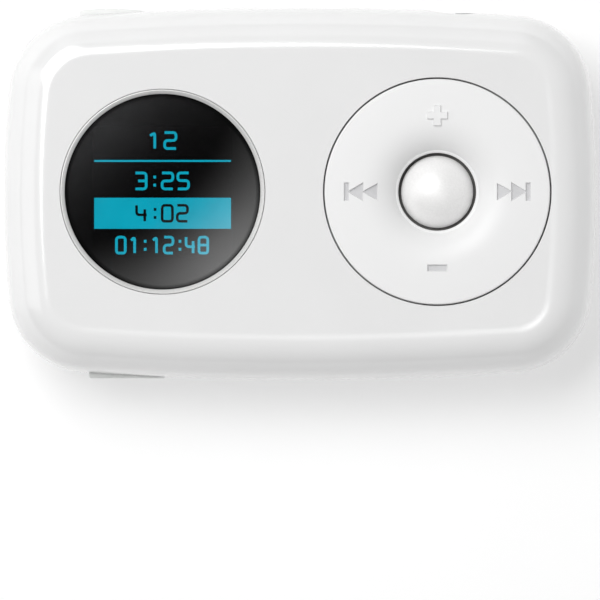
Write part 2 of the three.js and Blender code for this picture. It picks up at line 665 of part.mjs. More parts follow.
// ---------------------------------------------------------------- headphone jack and USB socket
const JACK_BORE_RADIUS = 1.8; // for a 3.5 mm plug
const JACK_HALF = [2.8, 2.15]; // half the jack's width and height
const JACK_FRONT = 15.1;
const JACK_BACK = 3.3;
const COLLAR_FRONT = 16.7;
const contactsAlong = { tip: 5.4, ring: 8.8, sleeve: 12.2 }; // where each contact is along Y
const CONTACT = { half: 1.25, rise: 0.45, thickness: 0.2, bumpHalf: 0.75, bumpTip: 0.1 };
const SLOT_GAP = 0.12; // round each contact in its slot

function headphoneJack() {
  const [halfWidth, halfHeight] = JACK_HALF;
  const acrossX = [JACK_X - halfWidth, JACK_X + halfWidth];
  const upright = [PARTING_Z - halfHeight, PARTING_Z + halfHeight];
  const body = block(acrossX, [JACK_BACK, JACK_FRONT], upright);
  const bore = rodAlongY(JACK_BORE_RADIUS, [JACK_BACK + 1, JACK_FRONT + OVERSHOOT], [JACK_X, PARTING_Z]);
  const slotX = [JACK_X - halfWidth - OVERSHOOT, JACK_X - JACK_BORE_RADIUS + 0.6];
  const slotZ = [PARTING_Z - CONTACT.rise - SLOT_GAP, PARTING_Z + CONTACT.rise + SLOT_GAP];
  const reach = CONTACT.half + SLOT_GAP;
  const slots = Object.values(contactsAlong).map((y) => block(slotX, [y - reach, y + reach], slotZ));
  return cut(body, [bore, ...slots]);
}

function jackCollar() {
  const at = [JACK_X, PARTING_Z];
  const length = [JACK_FRONT + CLEAR, COLLAR_FRONT];
  const ring = rodAlongY(COLLAR_RADIUS, length, at, 28);
  return ring.subtract(rodAlongY(JACK_BORE_RADIUS + CLEAR, through(length), at, 28));
}

// A leaf spring in a slot of the jack, with a bump that reaches into the bore.
function jackContact(y) {
  const { half, rise, thickness, bumpHalf, bumpTip } = CONTACT;
  const back = JACK_X - JACK_HALF[0] + 0.1;
  const leaf = back + thickness;
  const bump = JACK_X - JACK_BORE_RADIUS + 0.18;
  const side = [[leaf, half], [leaf, bumpHalf], [bump, bumpTip]];
  const mirrored = side.map(([x, along]) => [x, -along]).reverse();
  const points = [[back, -half], [back, half], ...side, ...mirrored].map(([x, along]) => [x, y + along]);
  return prism(points.reverse(), [PARTING_Z - rise, PARTING_Z + rise]);
}

const USB_FRONT = 16.6;
const USB_BACK = 7.6;
const USB_SHEET = 0.35; // the thickness of the socket's shell
const USB_PLUG_BLOCK = 1.5; // the insulator fills this much of the shell's back
const TONGUE = { half: 2.2, front: USB_FRONT - 1.1, z: [6.0, 6.9] };
const USB_PITCH = 0.8;
const USB_CONTACT = { half: 0.2, thickness: 0.15, lift: 0.02 };

function usbShell() {
  const length = [USB_BACK, USB_FRONT];
  return prismAlongY(usbOutline(0), length).subtract(prismAlongY(usbOutline(-USB_SHEET), through(length)));
}

// A block in the back of the shell, with a tongue that carries the contacts.
function usbInsulator() {
  const blockY = [USB_BACK + 0.1, USB_BACK + 0.1 + USB_PLUG_BLOCK];
  return union([
    prismAlongY(usbOutline(-USB_SHEET - 0.07), blockY),
    block([-TONGUE.half, TONGUE.half], [blockY[1] - 0.1, TONGUE.front], TONGUE.z),
  ]);
}

function usbContact(x) {
  const { half, thickness, lift } = USB_CONTACT;
  const foot = TONGUE.z[1] + lift;
  const alongY = [USB_BACK + 0.2 + USB_PLUG_BLOCK, TONGUE.front - 0.4];
  return block([x - half, x + half], alongY, [foot, foot + thickness]);
}

// ---------------------------------------------------------------- keys in the side walls
const KNOB_END_Y = 16.94; // flush with the case at the inner end, proud of it at the corner end
const KNOB_CROWN = 0.19;
const SLIDER_FLANGE_Y = [13.55, 14.4];
const SLIDER_FLANGE_Z = [SLIDER_Z[0] - 0.25, SLIDER_Z[1] + 0.35];
const SWITCH_LEVER = { half: 0.65, y: [12.0, 13.95], z: [6.2, 7.3] };
const LEVER_GAP = 0.1; // round the lever in the slider's notch

// A low crowned knob on a flange that covers its slot at both ends of its travel.
function powerSlider() {
  const ends = [SLIDER_X - SLIDER_HALF, SLIDER_X + SLIDER_HALF];
  const face = Array.from({ length: 11 }, (_, k) => {
    const share = k / 10;
    return [ends[0] + (ends[1] - ends[0]) * share, KNOB_END_Y + KNOB_CROWN * (1 - (2 * share - 1) ** 2)];
  });
  const neckBack = SLIDER_FLANGE_Y[1] - 0.1;
  const neck = prism([[ends[1], neckBack], ...face.reverse(), [ends[0], neckBack]], SLIDER_Z);
  const reach = SLIDER_TRAVEL + 0.4;
  const flange = block([ends[0] - reach, ends[1] + reach], SLIDER_FLANGE_Y, SLIDER_FLANGE_Z);
  const { half, y, z } = SWITCH_LEVER;
  const notchX = [SLIDER_X - half - LEVER_GAP, SLIDER_X + half + LEVER_GAP];
  const notch = block(notchX, [y[0], y[1] + LEVER_GAP], [z[0] - 0.3, z[1] + 0.2]);
  return union([neck, flange]).subtract(notch);
}

function powerSwitch() {
  const { half, y, z } = SWITCH_LEVER;
  const body = block([-21.2, -12.0], [10.4, 13.35], [BOARD_TOP + CLEAR, 7.75]);
  const slotX = [SLIDER_X - half - 0.25, SLIDER_X + SLIDER_TRAVEL + half + 0.25];
  return body.subtract(block(slotX, [y[0] - LEVER_GAP, y[1]], [z[0] - LEVER_GAP, z[1] + LEVER_GAP]));
}

function powerSwitchLever() {
  const { half, y, z } = SWITCH_LEVER;
  return block([SLIDER_X - half, SLIDER_X + half], y, z);
}

const MENU_FACE_Y = -17.12;
const MENU_FLANGE = { y: [-15.0, -14.45], rim: 0.7, lip: 0.6 };
const MENU_NUB = { half: 0.8, back: -14.1, z: [6.0, 7.2] };

// A cap on a flange behind the wall, with a nub that presses the switch.
function menuKey() {
  const ends = [MENU_X - MENU_HALF, MENU_X + MENU_HALF];
  const { y, rim, lip } = MENU_FLANGE;
  const { half, back, z } = MENU_NUB;
  return union([
    block(ends, [MENU_FACE_Y, y[0] + 0.1], MENU_Z),
    block([ends[0] - rim, ends[1] + rim], y, [MENU_Z[0] - lip, MENU_Z[1] + lip]),
    block([MENU_X - half, MENU_X + half], [y[1] - 0.05, back], z),
  ]);
}

// A tact switch with its plunger towards the key, one key's travel away from its nub.
function menuSwitch() {
  return union([
    block([MENU_X - 2.1, MENU_X + 2.1], [-13.3, -10.9], [BOARD_TOP + CLEAR, 7.5]),
    block([MENU_X - 0.9, MENU_X + 0.9], [MENU_NUB.back + 0.35, -13.2], [6.1, 7.1]),
  ]);
}

// ---------------------------------------------------------------- microphone
const MICROPHONE_Y = [-15.3, -13.8];
const MICROPHONE_RADIUS = 1.9;
const BOOT_WALL = 0.45;

function microphone() {
  return rodAlongY(MICROPHONE_RADIUS, MICROPHONE_Y, [MICROPHONE_X, PARTING_Z], 16);
}

function microphoneBoot() {
  const [front, back] = MICROPHONE_Y;
  const at = [MICROPHONE_X, PARTING_Z];
  const sleeve = rodAlongY(MICROPHONE_RADIUS + BOOT_WALL, [front, back - 0.2], at, 16);
  return sleeve.subtract(rodAlongY(MICROPHONE_RADIUS + CLEAR, through(MICROPHONE_Y), at, 16));
}

// ---------------------------------------------------------------- battery
function batteryCell() {
  const round = 0.4;
  const inwards = ([low, high]) => [low + round, high - round];
  const outlinePoints = roundedRectangle(inwards(BATTERY.x), inwards(BATTERY.y), 1.0);
  const shape = new THREE.Shape(outlinePoints.map(([x, y]) => new THREE.Vector2(x, y)));
  const edge = { bevelEnabled: true, bevelThickness: round, bevelSize: round, bevelSegments: 2 };
  const height = BATTERY.z[1] - BATTERY.z[0] - 2 * round;
  const pouch = new THREE.ExtrudeGeometry(shape, { depth: height, ...edge });
  return solid(pouch.translate(0, 0, BATTERY.z[0] + round));
}

const PROTECTION_BOARD = { x: [10.4, 11.9], y: [-10, 2], z: [2.2, 4.3] };
const WIRE_RADIUS = 0.35;

// A wire from the protection board to its solder pad under the main board.
function batteryLead(y) {
  const from = PROTECTION_BOARD.x[1] + 0.1;
  const route = new THREE.CatmullRomCurve3([
    new THREE.Vector3(from, y, 3.2),
    new THREE.Vector3(from + 0.9, y, 3.1),
    new THREE.Vector3(from + 2.2, y - 0.3, 3.3),
    new THREE.Vector3(from + 3.0, y - 0.5, 4.2),
    new THREE.Vector3(from + 3.1, y - 0.5, BOARD_Z - 2 * CLEAR),
  ]);
  const section = new THREE.Shape();
  section.absarc(0, 0, WIRE_RADIUS, 0, 2 * Math.PI);
  const wire = { steps: 10, curveSegments: 4, bevelEnabled: false, extrudePath: route };
  return new THREE.ExtrudeGeometry(section, wire);
}

// ---------------------------------------------------------------- assembly
add("front_shell", frontShell(), "glossWhite");
add("rear_shell", rearShell(), "glossWhite");

add("window_bezel", windowBezel(), "pearlSilver");
add("window_lens", windowLens(), "smokedLens");
add("display_gasket", displayGasket(), "blackFoam");
add("display_panel", displayPanel(), "displayBlack");
add("display_frame", displayFrame(), "naturalPlastic");
add("display_flex", ribbon(displayFlexPath, DISPLAY_FLEX_X, 5), "amberFilm");
add("display_connector", chip([DISPLAY_FLEX_X, -12.3], [6, 1.2], 1.1), "naturalPlastic");

add("control_pad", controlPad(), "glossWhite");
add("keymat_ring", keymat(), "silicone");
add("play_button", playButton(), "pearlSilver");
add("keypad_board", keypadBoard(), "greenBoard");
const domes = { next: 0, up: 90, previous: 180, down: 270 };
for (const [name, degrees] of Object.entries(domes)) {
  add("dome_" + name, snapDome(aroundPad(SYMBOL_RADIUS, degrees)), "steel");
}
add("dome_play", snapDome(PAD_CENTRE), "steel");
add("keypad_flex", ribbon(keypadFlexPath, PAD_X, 6), "amberFilm");
add("keypad_connector", chip([PAD_X, -7.8], [7.4, 1.3], 1.1), "naturalPlastic");
keypadScrews.forEach((at, k) => add("keypad_screw_" + (k + 1), screw(at, KEYPAD_SCREW), "steel"));

add("main_board", mainBoard(), "greenBoard");
boardScrews.forEach((at, k) => add("board_screw_" + (k + 1), screw(at, BOARD_SCREW), "steel"));
add("main_processor", chip([-12.2, 0.5], [8, 8], 0.9), "blackPlastic");
add("flash_memory", chip([3.6, -3.6], [10, 7.5], 1.0), "blackPlastic");
add("radio_tuner", chip([21.2, -1.2], [4, 4], 0.8), "blackPlastic");
add("crystal", chip([-2.6, 3.6], [3.2, 2.5], 0.7), "steel");
add("power_inductor", chip([21.2, 3.9], [3, 3], 1.2), "blackPlastic");

add("battery_cell", batteryCell(), "foil");
add("battery_tape", block([-18, 8], [-9, 4], [FLOOR_Z + 0.03, FLOOR_Z + 0.3]), "blackFoam");
const { x: boardX, y: boardY, z: boardZ } = PROTECTION_BOARD;
add("battery_protection_board", block(boardX, boardY, boardZ), "greenBoard");
add("battery_lead_positive", batteryLead(-3), "redWire");
add("battery_lead_negative", batteryLead(-5), "blackWire");

add("headphone_jack", headphoneJack(), "blackPlastic");
add("jack_collar", jackCollar(), "steel");
for (const [name, y] of Object.entries(contactsAlong)) add("jack_contact_" + name, jackContact(y), "gold");
add("usb_shell", usbShell(), "steel");
add("usb_insulator", usbInsulator(), "blackPlastic");
for (let k = 0; k < 5; k++) add("usb_contact_" + (k + 1), usbContact(USB_PITCH * (k - 2)), "gold");

add("power_slider", powerSlider(), "greyPlastic");
add("power_switch", powerSwitch(), "blackPlastic");
add("power_switch_lever", powerSwitchLever(), "naturalPlastic");
add("menu_key", menuKey(), "greyPlastic");
add("menu_switch", menuSwitch(), "blackPlastic");
add("microphone", microphone(), "steel");
add("microphone_boot", microphoneBoot(), "blackFoam");

export default group;
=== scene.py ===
"""The looks of a pocket audio player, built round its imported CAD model. Metres, +Z out of the face."""

import json
import math

import bmesh
import bpy
from mathutils import Matrix, Vector

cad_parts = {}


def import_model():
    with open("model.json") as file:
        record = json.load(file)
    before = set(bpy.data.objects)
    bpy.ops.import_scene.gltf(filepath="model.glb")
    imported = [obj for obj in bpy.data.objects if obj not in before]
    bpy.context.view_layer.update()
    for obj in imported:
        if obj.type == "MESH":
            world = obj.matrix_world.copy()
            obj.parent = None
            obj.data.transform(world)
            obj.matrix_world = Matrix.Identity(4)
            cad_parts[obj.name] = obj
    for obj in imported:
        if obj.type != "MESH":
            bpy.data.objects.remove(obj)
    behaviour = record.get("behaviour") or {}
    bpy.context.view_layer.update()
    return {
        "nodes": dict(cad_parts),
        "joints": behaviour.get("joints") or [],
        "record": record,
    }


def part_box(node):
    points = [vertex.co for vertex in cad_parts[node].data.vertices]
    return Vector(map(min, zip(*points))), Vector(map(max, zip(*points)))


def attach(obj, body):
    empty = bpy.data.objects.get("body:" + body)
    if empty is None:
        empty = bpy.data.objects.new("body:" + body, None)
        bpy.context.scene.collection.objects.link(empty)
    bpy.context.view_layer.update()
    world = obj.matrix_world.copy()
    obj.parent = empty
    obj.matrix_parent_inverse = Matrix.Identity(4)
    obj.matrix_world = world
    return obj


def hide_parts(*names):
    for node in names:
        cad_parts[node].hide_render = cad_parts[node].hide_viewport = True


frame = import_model()

MM = 0.001
NODES = frame["nodes"]


# ------------------------------------------------------------ sizes read from the frame
def span(node, axis):
    low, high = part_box(node)
    return low[axis], high[axis]


def middle(node):
    low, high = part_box(node)
    return (low + high) / 2


HALF_LENGTH = span("rear_shell", 0)[1]
HALF_HEIGHT = -span("rear_shell", 1)[0]
DEPTH = span("front_shell", 2)[1]
PARTING_Z = DEPTH / 2
LONG_EDGE_RADIUS = 286 * MM
SHORT_EDGE_RADIUS = 97.5 * MM
CORNER_RADIUS = 7.4 * MM
PARTING_GAP = 0.1 * MM
WALL = 1.2 * MM
FACE_WALL = 1.3 * MM
FRONT_ROLL = 4.4 * MM
REAR_ROLL = 5.6 * MM
# how much smaller the roll is on the shells' inner side
ROLL_STEP = 0.35 * MM
ROLL_POWER = 2.3
LIP_HEIGHT = 0.8 * MM
SEAM_ROUND = 0.16 * MM

WINDOW = middle("window_lens")
PAD = middle("control_pad")
WINDOW.z = PAD.z = 0
LENS_RADIUS = (span("window_lens", 0)[1] - span("window_lens", 0)[0]) / 2
BEZEL_RADIUS = 9.45 * MM
SIGHT_RADIUS = 9.05 * MM
PAD_RADIUS = 10.43 * MM
PAD_GAP = 0.13 * MM
WINDOW_GAP = 0.05 * MM
PAD_HOLE = 3.6 * MM
SYMBOL_RADIUS = 7.05 * MM
SYMBOL_DEPTH = 0.22 * MM
SIGN_SLOPE = 0.28


# ------------------------------------------------------------ mesh tools
def quarter_turn(steps):
    """Angles from 0 to a right angle, for a quarter round."""
    return [math.pi / 2 * k / steps for k in range(steps + 1)]


def new_object(name, verts, faces):
    mesh = bpy.data.meshes.new(name)
    mesh.from_pydata([tuple(v) for v in verts], [], faces)
    mesh.validate()
    obj = bpy.data.objects.new(name, mesh)
    bpy.context.scene.collection.objects.link(obj)
    return obj


def tidy(obj):
    """Joins doubled vertices and turns the faces outwards."""
    work = bmesh.new()
    work.from_mesh(obj.data)
    bmesh.ops.remove_doubles(work, verts=work.verts, dist=1e-7)
    bmesh.ops.recalc_face_normals(work, faces=work.faces)
    work.to_mesh(obj.data)
    work.free()
    return obj


def stacked(name, rings):
    """A closed solid through rings of points, each with the same number of points."""
    count = len(rings[0])
    verts = [p for ring in rings for p in ring]
    faces = [tuple(range(count))[::-1]]
    for level in range(len(rings) - 1):
        for i in range(count):
            a = level * count + i
            b = level * count + (i + 1) % count
            faces.append((a, b, b + count, a + count))
    faces.append(tuple(range((len(rings) - 1) * count, len(rings) * count)))
    return tidy(new_object(name, verts, faces))


def turned(name, profile, centre, segments=160):
    """A solid of revolution about Z.

    Its profile of (radius, z) points is an open run that starts and ends on the axis, or a loop clear of it.
    """
    closed = min(r for r, _ in profile) > 0
    verts = []
    rows = []
    for r, z in profile:
        if r <= 0:
            rows.append([len(verts)] * segments)
            verts.append((centre.x, centre.y, z))
            continue
        rows.append(list(range(len(verts), len(verts) + segments)))
        for k in range(segments):
            turn = 2 * math.pi * k / segments
            verts.append((centre.x + r * math.cos(turn), centre.y + r * math.sin(turn), z))
    faces = []
    for level in range(len(rows) if closed else len(rows) - 1):
        low, high = rows[level], rows[(level + 1) % len(rows)]
        for k in range(segments):
            n = (k + 1) % segments
            corners = dict.fromkeys([low[k], low[n], high[n], high[k]])
            if len(corners) > 2:
                faces.append(tuple(corners))
    return tidy(new_object(name, verts, faces))


def grown(points, amount):
    """A convex outline, anticlockwise, with every edge moved outwards."""
    count = len(points)
    moved = []
    for i in range(count):
        before, here, after = (Vector(points[(i + k) % count]) for k in (-1, 0, 1))
        first = (here - before).normalized()
        second = (after - here).normalized()
        out_a = Vector((first.y, -first.x))
        out_b = Vector((second.y, -second.x))
        moved.append(here + (out_a + out_b) * amount / (1 + out_a.dot(out_b)))
    return moved


def prism(name, points, z0, z1, taper=0.0):
    """An upright prism, whose upper outline is grown by taper at each edge."""
    upper = grown(points, taper) if taper else points
    return stacked(name, [[(x, y, z0) for x, y in points], [(x, y, z1) for x, y in upper]])


def combine(obj, operation, *others):
    """Joins, cuts or keeps the common part of solids, and removes the others."""
    for other in others:
        step = obj.modifiers.new("step", "BOOLEAN")
        step.operation = operation
        step.solver = "MANIFOLD"
        step.object = other
        graph = bpy.context.evaluated_depsgraph_get()
        made = bpy.data.meshes.new_from_object(obj.evaluated_get(graph))
        obj.modifiers.clear()
        obj.data = made
        bpy.data.objects.remove(other)
    return obj


def copy_of(obj, shift=(0, 0, 0)):
    twin = bpy.data.objects.new(obj.name + "_copy", obj.data.copy())
    twin.data.transform(Matrix.Translation(shift))
    bpy.context.scene.collection.objects.link(twin)
    return twin


def shade(obj, normal_at=None, sharp=35):
    """Smooth shading with sharp creases.

    normal_at(point) gives the true normal of a point on a curved surface, or None for any other point.
    """
    mesh = obj.data
    mesh.shade_smooth()
    mesh.set_sharp_from_angle(angle=math.radians(sharp))
    if normal_at is None:
        return obj
    normals = [Vector(n.vector) for n in mesh.corner_normals]
    for polygon in mesh.polygons:
        for corner in polygon.loop_indices:
            true = normal_at(mesh.vertices[mesh.loops[corner].vertex_index].co)
            if true is not None and true.dot(polygon.normal) > 0.8:
                normals[corner] = true
    mesh.normals_split_custom_set(normals)
    return obj


# ------------------------------------------------------------ the outline of the case
LONG_CENTRE = Vector((0, HALF_HEIGHT - LONG_EDGE_RADIUS))
SHORT_CENTRE = Vector((HALF_LENGTH - SHORT_EDGE_RADIUS, 0))


def corner_centre():
    """The centre of the corner's arc, which touches both the long edge's arc and the short edge's."""
    from_long = LONG_EDGE_RADIUS - CORNER_RADIUS
    from_short = SHORT_EDGE_RADIUS - CORNER_RADIUS
    step = SHORT_CENTRE - LONG_CENTRE
    distance = step.length
    along = (from_long**2 - from_short**2 + distance**2) / (2 * distance)
    across = math.sqrt(from_long**2 - along**2)
    direction = step / distance
    return LONG_CENTRE + direction * along + Vector((direction.y, -direction.x)) * across


CORNER = corner_centre()
SHORT_END = math.atan2(*(CORNER - SHORT_CENTRE).yx)
LONG_START = math.atan2(*(CORNER - LONG_CENTRE).yx)


def arc(centre, radius, start, end, steps):
    for k in range(steps):
        angle = start + (end - start) * k / steps
        yield Vector((centre.x + radius * math.cos(angle), centre.y + radius * math.sin(angle)))


def outline(inset, fine=2):
    """The case's outline, anticlockwise, moved inwards. fine is how closely its points lie."""
    quarter = [
        *arc(SHORT_CENTRE, SHORT_EDGE_RADIUS - inset, 0, SHORT_END, 5 * fine),
        *arc(CORNER, CORNER_RADIUS - inset, SHORT_END, LONG_START, 12 * fine),
        *arc(LONG_CENTRE, LONG_EDGE_RADIUS - inset, LONG_START, math.pi / 2, 8 * fine),
    ]
    top = Vector((0, HALF_HEIGHT - inset))
    right_up = [*quarter, top]
    left_up = [Vector((-p.x, p.y)) for p in reversed(quarter)]
    lower = [Vector((p.x, -p.y)) for p in reversed([*right_up, *left_up][1:-1])]
    return [*right_up, *left_up, *lower]


def loft(name, rings, fine=2):
    """A solid through outlines, each with its inset and its height."""
    return stacked(name, [[(p.x, p.y, z) for p in outline(inset, fine)] for inset, z in rings])


def roll_off(wall_z, face_z, roll, inset=0.0, steps=22):
    """Rings of (inset, z) from a side wall to a face above it, or from a face to the wall above it."""
    rings = []
    for angle in quarter_turn(steps):
        sideways = max(0.0, math.cos(angle)) ** (2 / ROLL_POWER)
        outwards = math.sin(angle) ** (2 / ROLL_POWER)
        rings.append((inset + roll * (1 - sideways), wall_z + (face_z - wall_z) * outwards))
    return rings if face_z > wall_z else rings[::-1]


def outward(point):
    """The outline's outward direction at a point, and how far inside the outline the point lies."""
    folded = Vector((abs(point.x), abs(point.y)))
    side = Vector((math.copysign(1, point.x), math.copysign(1, point.y)))
    angle = math.atan2(*(folded - CORNER).yx)
    if angle < SHORT_END:
        centre, radius = SHORT_CENTRE, SHORT_EDGE_RADIUS
    elif angle > LONG_START:
        centre, radius = LONG_CENTRE, LONG_EDGE_RADIUS
    else:
        centre, radius = CORNER, CORNER_RADIUS
    away = folded - centre
    inset = radius - away.length
    away.normalize()
    return Vector((away.x * side.x, away.y * side.y)), inset


def shell_normal(wall_z, face_z, roll):
    """The true normal of the rolled surface between a side wall and a face."""
    def at(point):
        away, inset = outward(point)
        share = max(0.0, 1 - inset / roll)
        rise = (point.z - wall_z) / (face_z - wall_z)
        if rise < 0 or abs(share**ROLL_POWER + rise**ROLL_POWER - 1) > 0.02:
            return None
        sideways = share ** (ROLL_POWER - 1) / roll
        upwards = rise ** (ROLL_POWER - 1) / (face_z - wall_z)
        return Vector((away.x * sideways, away.y * sideways, upwards)).normalized()
    return at


# ------------------------------------------------------------ shells
def rod(name, radius, z0, z1, x, y, segments=32):
    turns = [2 * math.pi * k / segments for k in range(segments)]
    return prism(name, [(x + radius * math.cos(t), y + radius * math.sin(t)) for t in turns], z0, z1)


def rounded(x0, x1, y0, y1, radius, steps=6):
    """A rectangle with round corners, anticlockwise."""
    corners = [(x1 - radius, y1 - radius), (x0 + radius, y1 - radius),
               (x0 + radius, y0 + radius), (x1 - radius, y0 + radius)]
    points = []
    for quarter, (cx, cy) in enumerate(corners):
        for k in range(steps + 1):
            angle = (quarter + k / steps) * math.pi / 2
            points.append((cx + radius * math.cos(angle), cy + radius * math.sin(angle)))
    return points


def along_y(obj):
    """Lays an upright solid along Y. Its drawing's X and Y become X and Z, and its heights become -Y."""
    obj.data.transform(Matrix.Rotation(math.pi / 2, 4, "X"))
    return tidy(obj)


def side_cutters(tag):
    """What opens the side walls: two sockets, a slot for each side key, and the microphone's hole."""
    inside = HALF_HEIGHT - 4 * MM
    outside = HALF_HEIGHT + 1 * MM
    gap = 0.12 * MM
    jack_radius = 2.8 * MM
    ear_radius = 0.45 * MM

    def through(name, points, top):
        # a drawing's +Z turns into -Y, so the top wall's cutters are drawn at negative heights
        low, high = (-outside, -inside) if top else (inside, outside)
        return along_y(prism(tag + name, points, low, high))

    (x0, _, z0), (x1, _, z1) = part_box("usb_shell")
    usb = rounded(x0 - gap, x1 + gap, z0 - gap, z1 + gap, 0.5 * MM)
    (x0, _, z0), (x1, _, z1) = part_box("menu_key")
    x0, x1 = x0 + KEY_RIM, x1 - KEY_RIM
    z0, z1 = z0 + KEY_LIP, z1 - KEY_LIP
    menu = rounded(x0 - gap, x1 + gap, z0 - gap, z1 + gap, 0.35 * MM)
    slot_end = SLIDER_HIGH + SLIDER_TRAVEL
    slot = rounded(SLIDER_LOW - gap, slot_end + gap, SLIDER_Z[0] - gap, SLIDER_Z[1] + gap, 0.4 * MM)

    def circle(centre, radius, count):
        turns = [2 * math.pi * (k + 0.5) / count for k in range(count)]
        return [(centre.x + radius * math.cos(t), centre.z + radius * math.sin(t)) for t in turns]

    return [
        through("usb", usb, True),
        through("jack", circle(middle("jack_collar"), jack_radius, 64), True),
        through("slot", slot, True),
        through("menu", menu, False),
        through("ear", circle(middle("microphone"), ear_radius, 24), False),
    ]


slide = next(j for j in frame["joints"] if j["name"] == "power_slide")
SLIDER_TRAVEL = slide["range_m"][1]
REACH = SLIDER_TRAVEL + 0.4 * MM
SLIDER_LOW = span("power_slider", 0)[0] + REACH
SLIDER_HIGH = span("power_slider", 0)[1] - REACH
SLIDER_Z = (span("power_slider", 2)[0] + 0.25 * MM, span("power_slider", 2)[1] - 0.35 * MM)
# how far the menu key's flange stands out past its cap, at the ends and along the sides
KEY_RIM = 0.7 * MM
KEY_LIP = 0.6 * MM


def flared_hole(name, radius, centre, flare):
    """A round cutter whose mouth opens out in a quarter round, which leaves the hole with a rounded edge."""
    top = DEPTH + 1 * MM
    profile = [(0, DEPTH - FACE_WALL - 1 * MM), (radius, DEPTH - FACE_WALL - 1 * MM)]
    for angle in quarter_turn(8):
        profile.append((radius + flare * (1 - math.cos(angle)), DEPTH - flare + flare * math.sin(angle)))
    profile += [(radius + flare, top), (0, top)]
    return turned(name, profile, centre, 192)


def seam_rings(wall_z, towards):
    """The rounded edge of a shell where it meets the other one."""
    rings = []
    for angle in quarter_turn(5)[:-1]:
        rise = SEAM_ROUND * (1 - math.cos(angle))
        rings.append((SEAM_ROUND * (1 - math.sin(angle)), wall_z + towards * rise))
    return rings


# the screws, the board that they hold, and the radii of their bosses and of the holes in these
BOSSES = (
    ("board_screw_", "main_board", 1.35 * MM, 0.7 * MM),
    ("keypad_screw_", "keypad_board", 1.1 * MM, 0.52 * MM),
)


def front_shell():
    wall_z = PARTING_Z + PARTING_GAP / 2
    skin = roll_off(wall_z, DEPTH, FRONT_ROLL)
    low = [ring for ring in skin if ring[1] > wall_z + SEAM_ROUND]
    shell = loft("front_shell_fine", seam_rings(wall_z, 1) + low)
    ceiling = DEPTH - FACE_WALL
    below = PARTING_Z - 1 * MM
    inner_skin = roll_off(PARTING_Z, ceiling, FRONT_ROLL - ROLL_STEP, WALL, 10)
    hollow = loft("hollow", [(WALL, below), *inner_skin], 1)
    rebate = loft("rebate", [(WALL / 2, below), (WALL / 2, PARTING_Z + LIP_HEIGHT + 0.1 * MM)], 1)
    combine(shell, "DIFFERENCE", hollow, rebate,
            flared_hole("window_hole", BEZEL_RADIUS + WINDOW_GAP, WINDOW, 0.08 * MM),
            flared_hole("pad_hole", PAD_RADIUS + PAD_GAP, PAD, 0.1 * MM),
            *side_cutters("front_"))
    for screw, board, radius, hole in BOSSES:
        foot = span(board, 2)[1] + 0.05 * MM
        for k in range(1, 5):
            at = middle(screw + str(k))
            # a boss reaches a little into the ceiling, and its hole stops short of it
            combine(shell, "UNION", rod("boss", radius, foot, ceiling + 0.4 * MM, at.x, at.y))
            pilot = rod("pilot", hole, foot - 1 * MM, ceiling - 0.15 * MM, at.x, at.y, 20)
            combine(shell, "DIFFERENCE", pilot)
    return shade(shell, shell_normal(wall_z, DEPTH, FRONT_ROLL))


def rear_shell():
    wall_z = PARTING_Z - PARTING_GAP / 2
    skin = [ring for ring in roll_off(wall_z, 0, REAR_ROLL) if ring[1] < wall_z - SEAM_ROUND]
    shell = loft("rear_shell_fine", skin + seam_rings(wall_z, -1)[::-1])
    lip_inset = WALL / 2 + 0.05 * MM
    lip = loft("lip", [(lip_inset, PARTING_Z - 1.5 * MM), (lip_inset, PARTING_Z + LIP_HEIGHT)], 1)
    combine(shell, "UNION", lip)
    inner_skin = roll_off(PARTING_Z, FACE_WALL, REAR_ROLL - ROLL_STEP, WALL, 10)
    hollow = loft("hollow", [*inner_skin, (WALL, PARTING_Z + 2 * MM)], 1)
    combine(shell, "DIFFERENCE", hollow, *side_cutters("rear_"))
    return shade(shell, shell_normal(wall_z, 0, REAR_ROLL))


# ------------------------------------------------------------ window
LENS_TOP = span("window_lens", 2)[0] + 1.0 * MM
LENS_CROWN = 0.2 * MM


def window_lens():
    base = span("window_lens", 2)[0]
    reach = SIGHT_RADIUS - 0.1 * MM
    profile = [(0, base), (LENS_RADIUS, base), (LENS_RADIUS, LENS_TOP)]
    steps = 24
    for k in range(steps + 1):
        share = 1 - k / steps
        profile.append((reach * share, LENS_TOP + LENS_CROWN * (1 - share**2)))
    return shade(turned("window_lens_fine", profile, WINDOW, 192), sharp=40)


def window_bezel():
    top = span("window_bezel", 2)[1]
    foot = span("window_bezel", 2)[0]
    flange = foot + 0.55 * MM
    sight = LENS_TOP + 0.05 * MM
    bead = 0.15 * MM
    shoulder = sight + bead
    flange_radius = BEZEL_RADIUS + 0.45 * MM
    bore = BEZEL_RADIUS - 0.2 * MM
    inner = [(SIGHT_RADIUS + 0.03 * MM * math.sin(math.pi * k / 6), sight + bead * k / 6) for k in range(7)]
    slope = [(SIGHT_RADIUS + 0.32 * MM * t, shoulder + (top - shoulder) * t**0.8)
             for t in (0.2, 0.4, 0.6, 0.8, 0.93, 1.0)]
    profile = [*inner, *slope, (BEZEL_RADIUS - 0.03 * MM, top - 0.01 * MM), (BEZEL_RADIUS, top - 0.05 * MM),
               (BEZEL_RADIUS, flange), (flange_radius, flange), (flange_radius, foot),
               (bore, foot), (bore, sight)]
    return shade(turned("window_bezel_fine", profile, WINDOW, 192), sharp=50)


# ------------------------------------------------------------ rocker pad
DISH_RADIUS = 7.2 * MM
DISH_DEPTH = 2.3 * MM
DISH_POWER = 2.4
# how far the pad's edges are rounded, at its hole and at its rim
PAD_LIP = 0.25 * MM
PAD_EDGE = 0.15 * MM
DOME_RADIUS = 3.75 * MM


def dish_z(r):
    towards_hole = min(1.0, max(0.0, (DISH_RADIUS - r) / (DISH_RADIUS - PAD_HOLE)))
    return DEPTH - DISH_DEPTH * (1 - math.sqrt(1 - towards_hole**DISH_POWER))


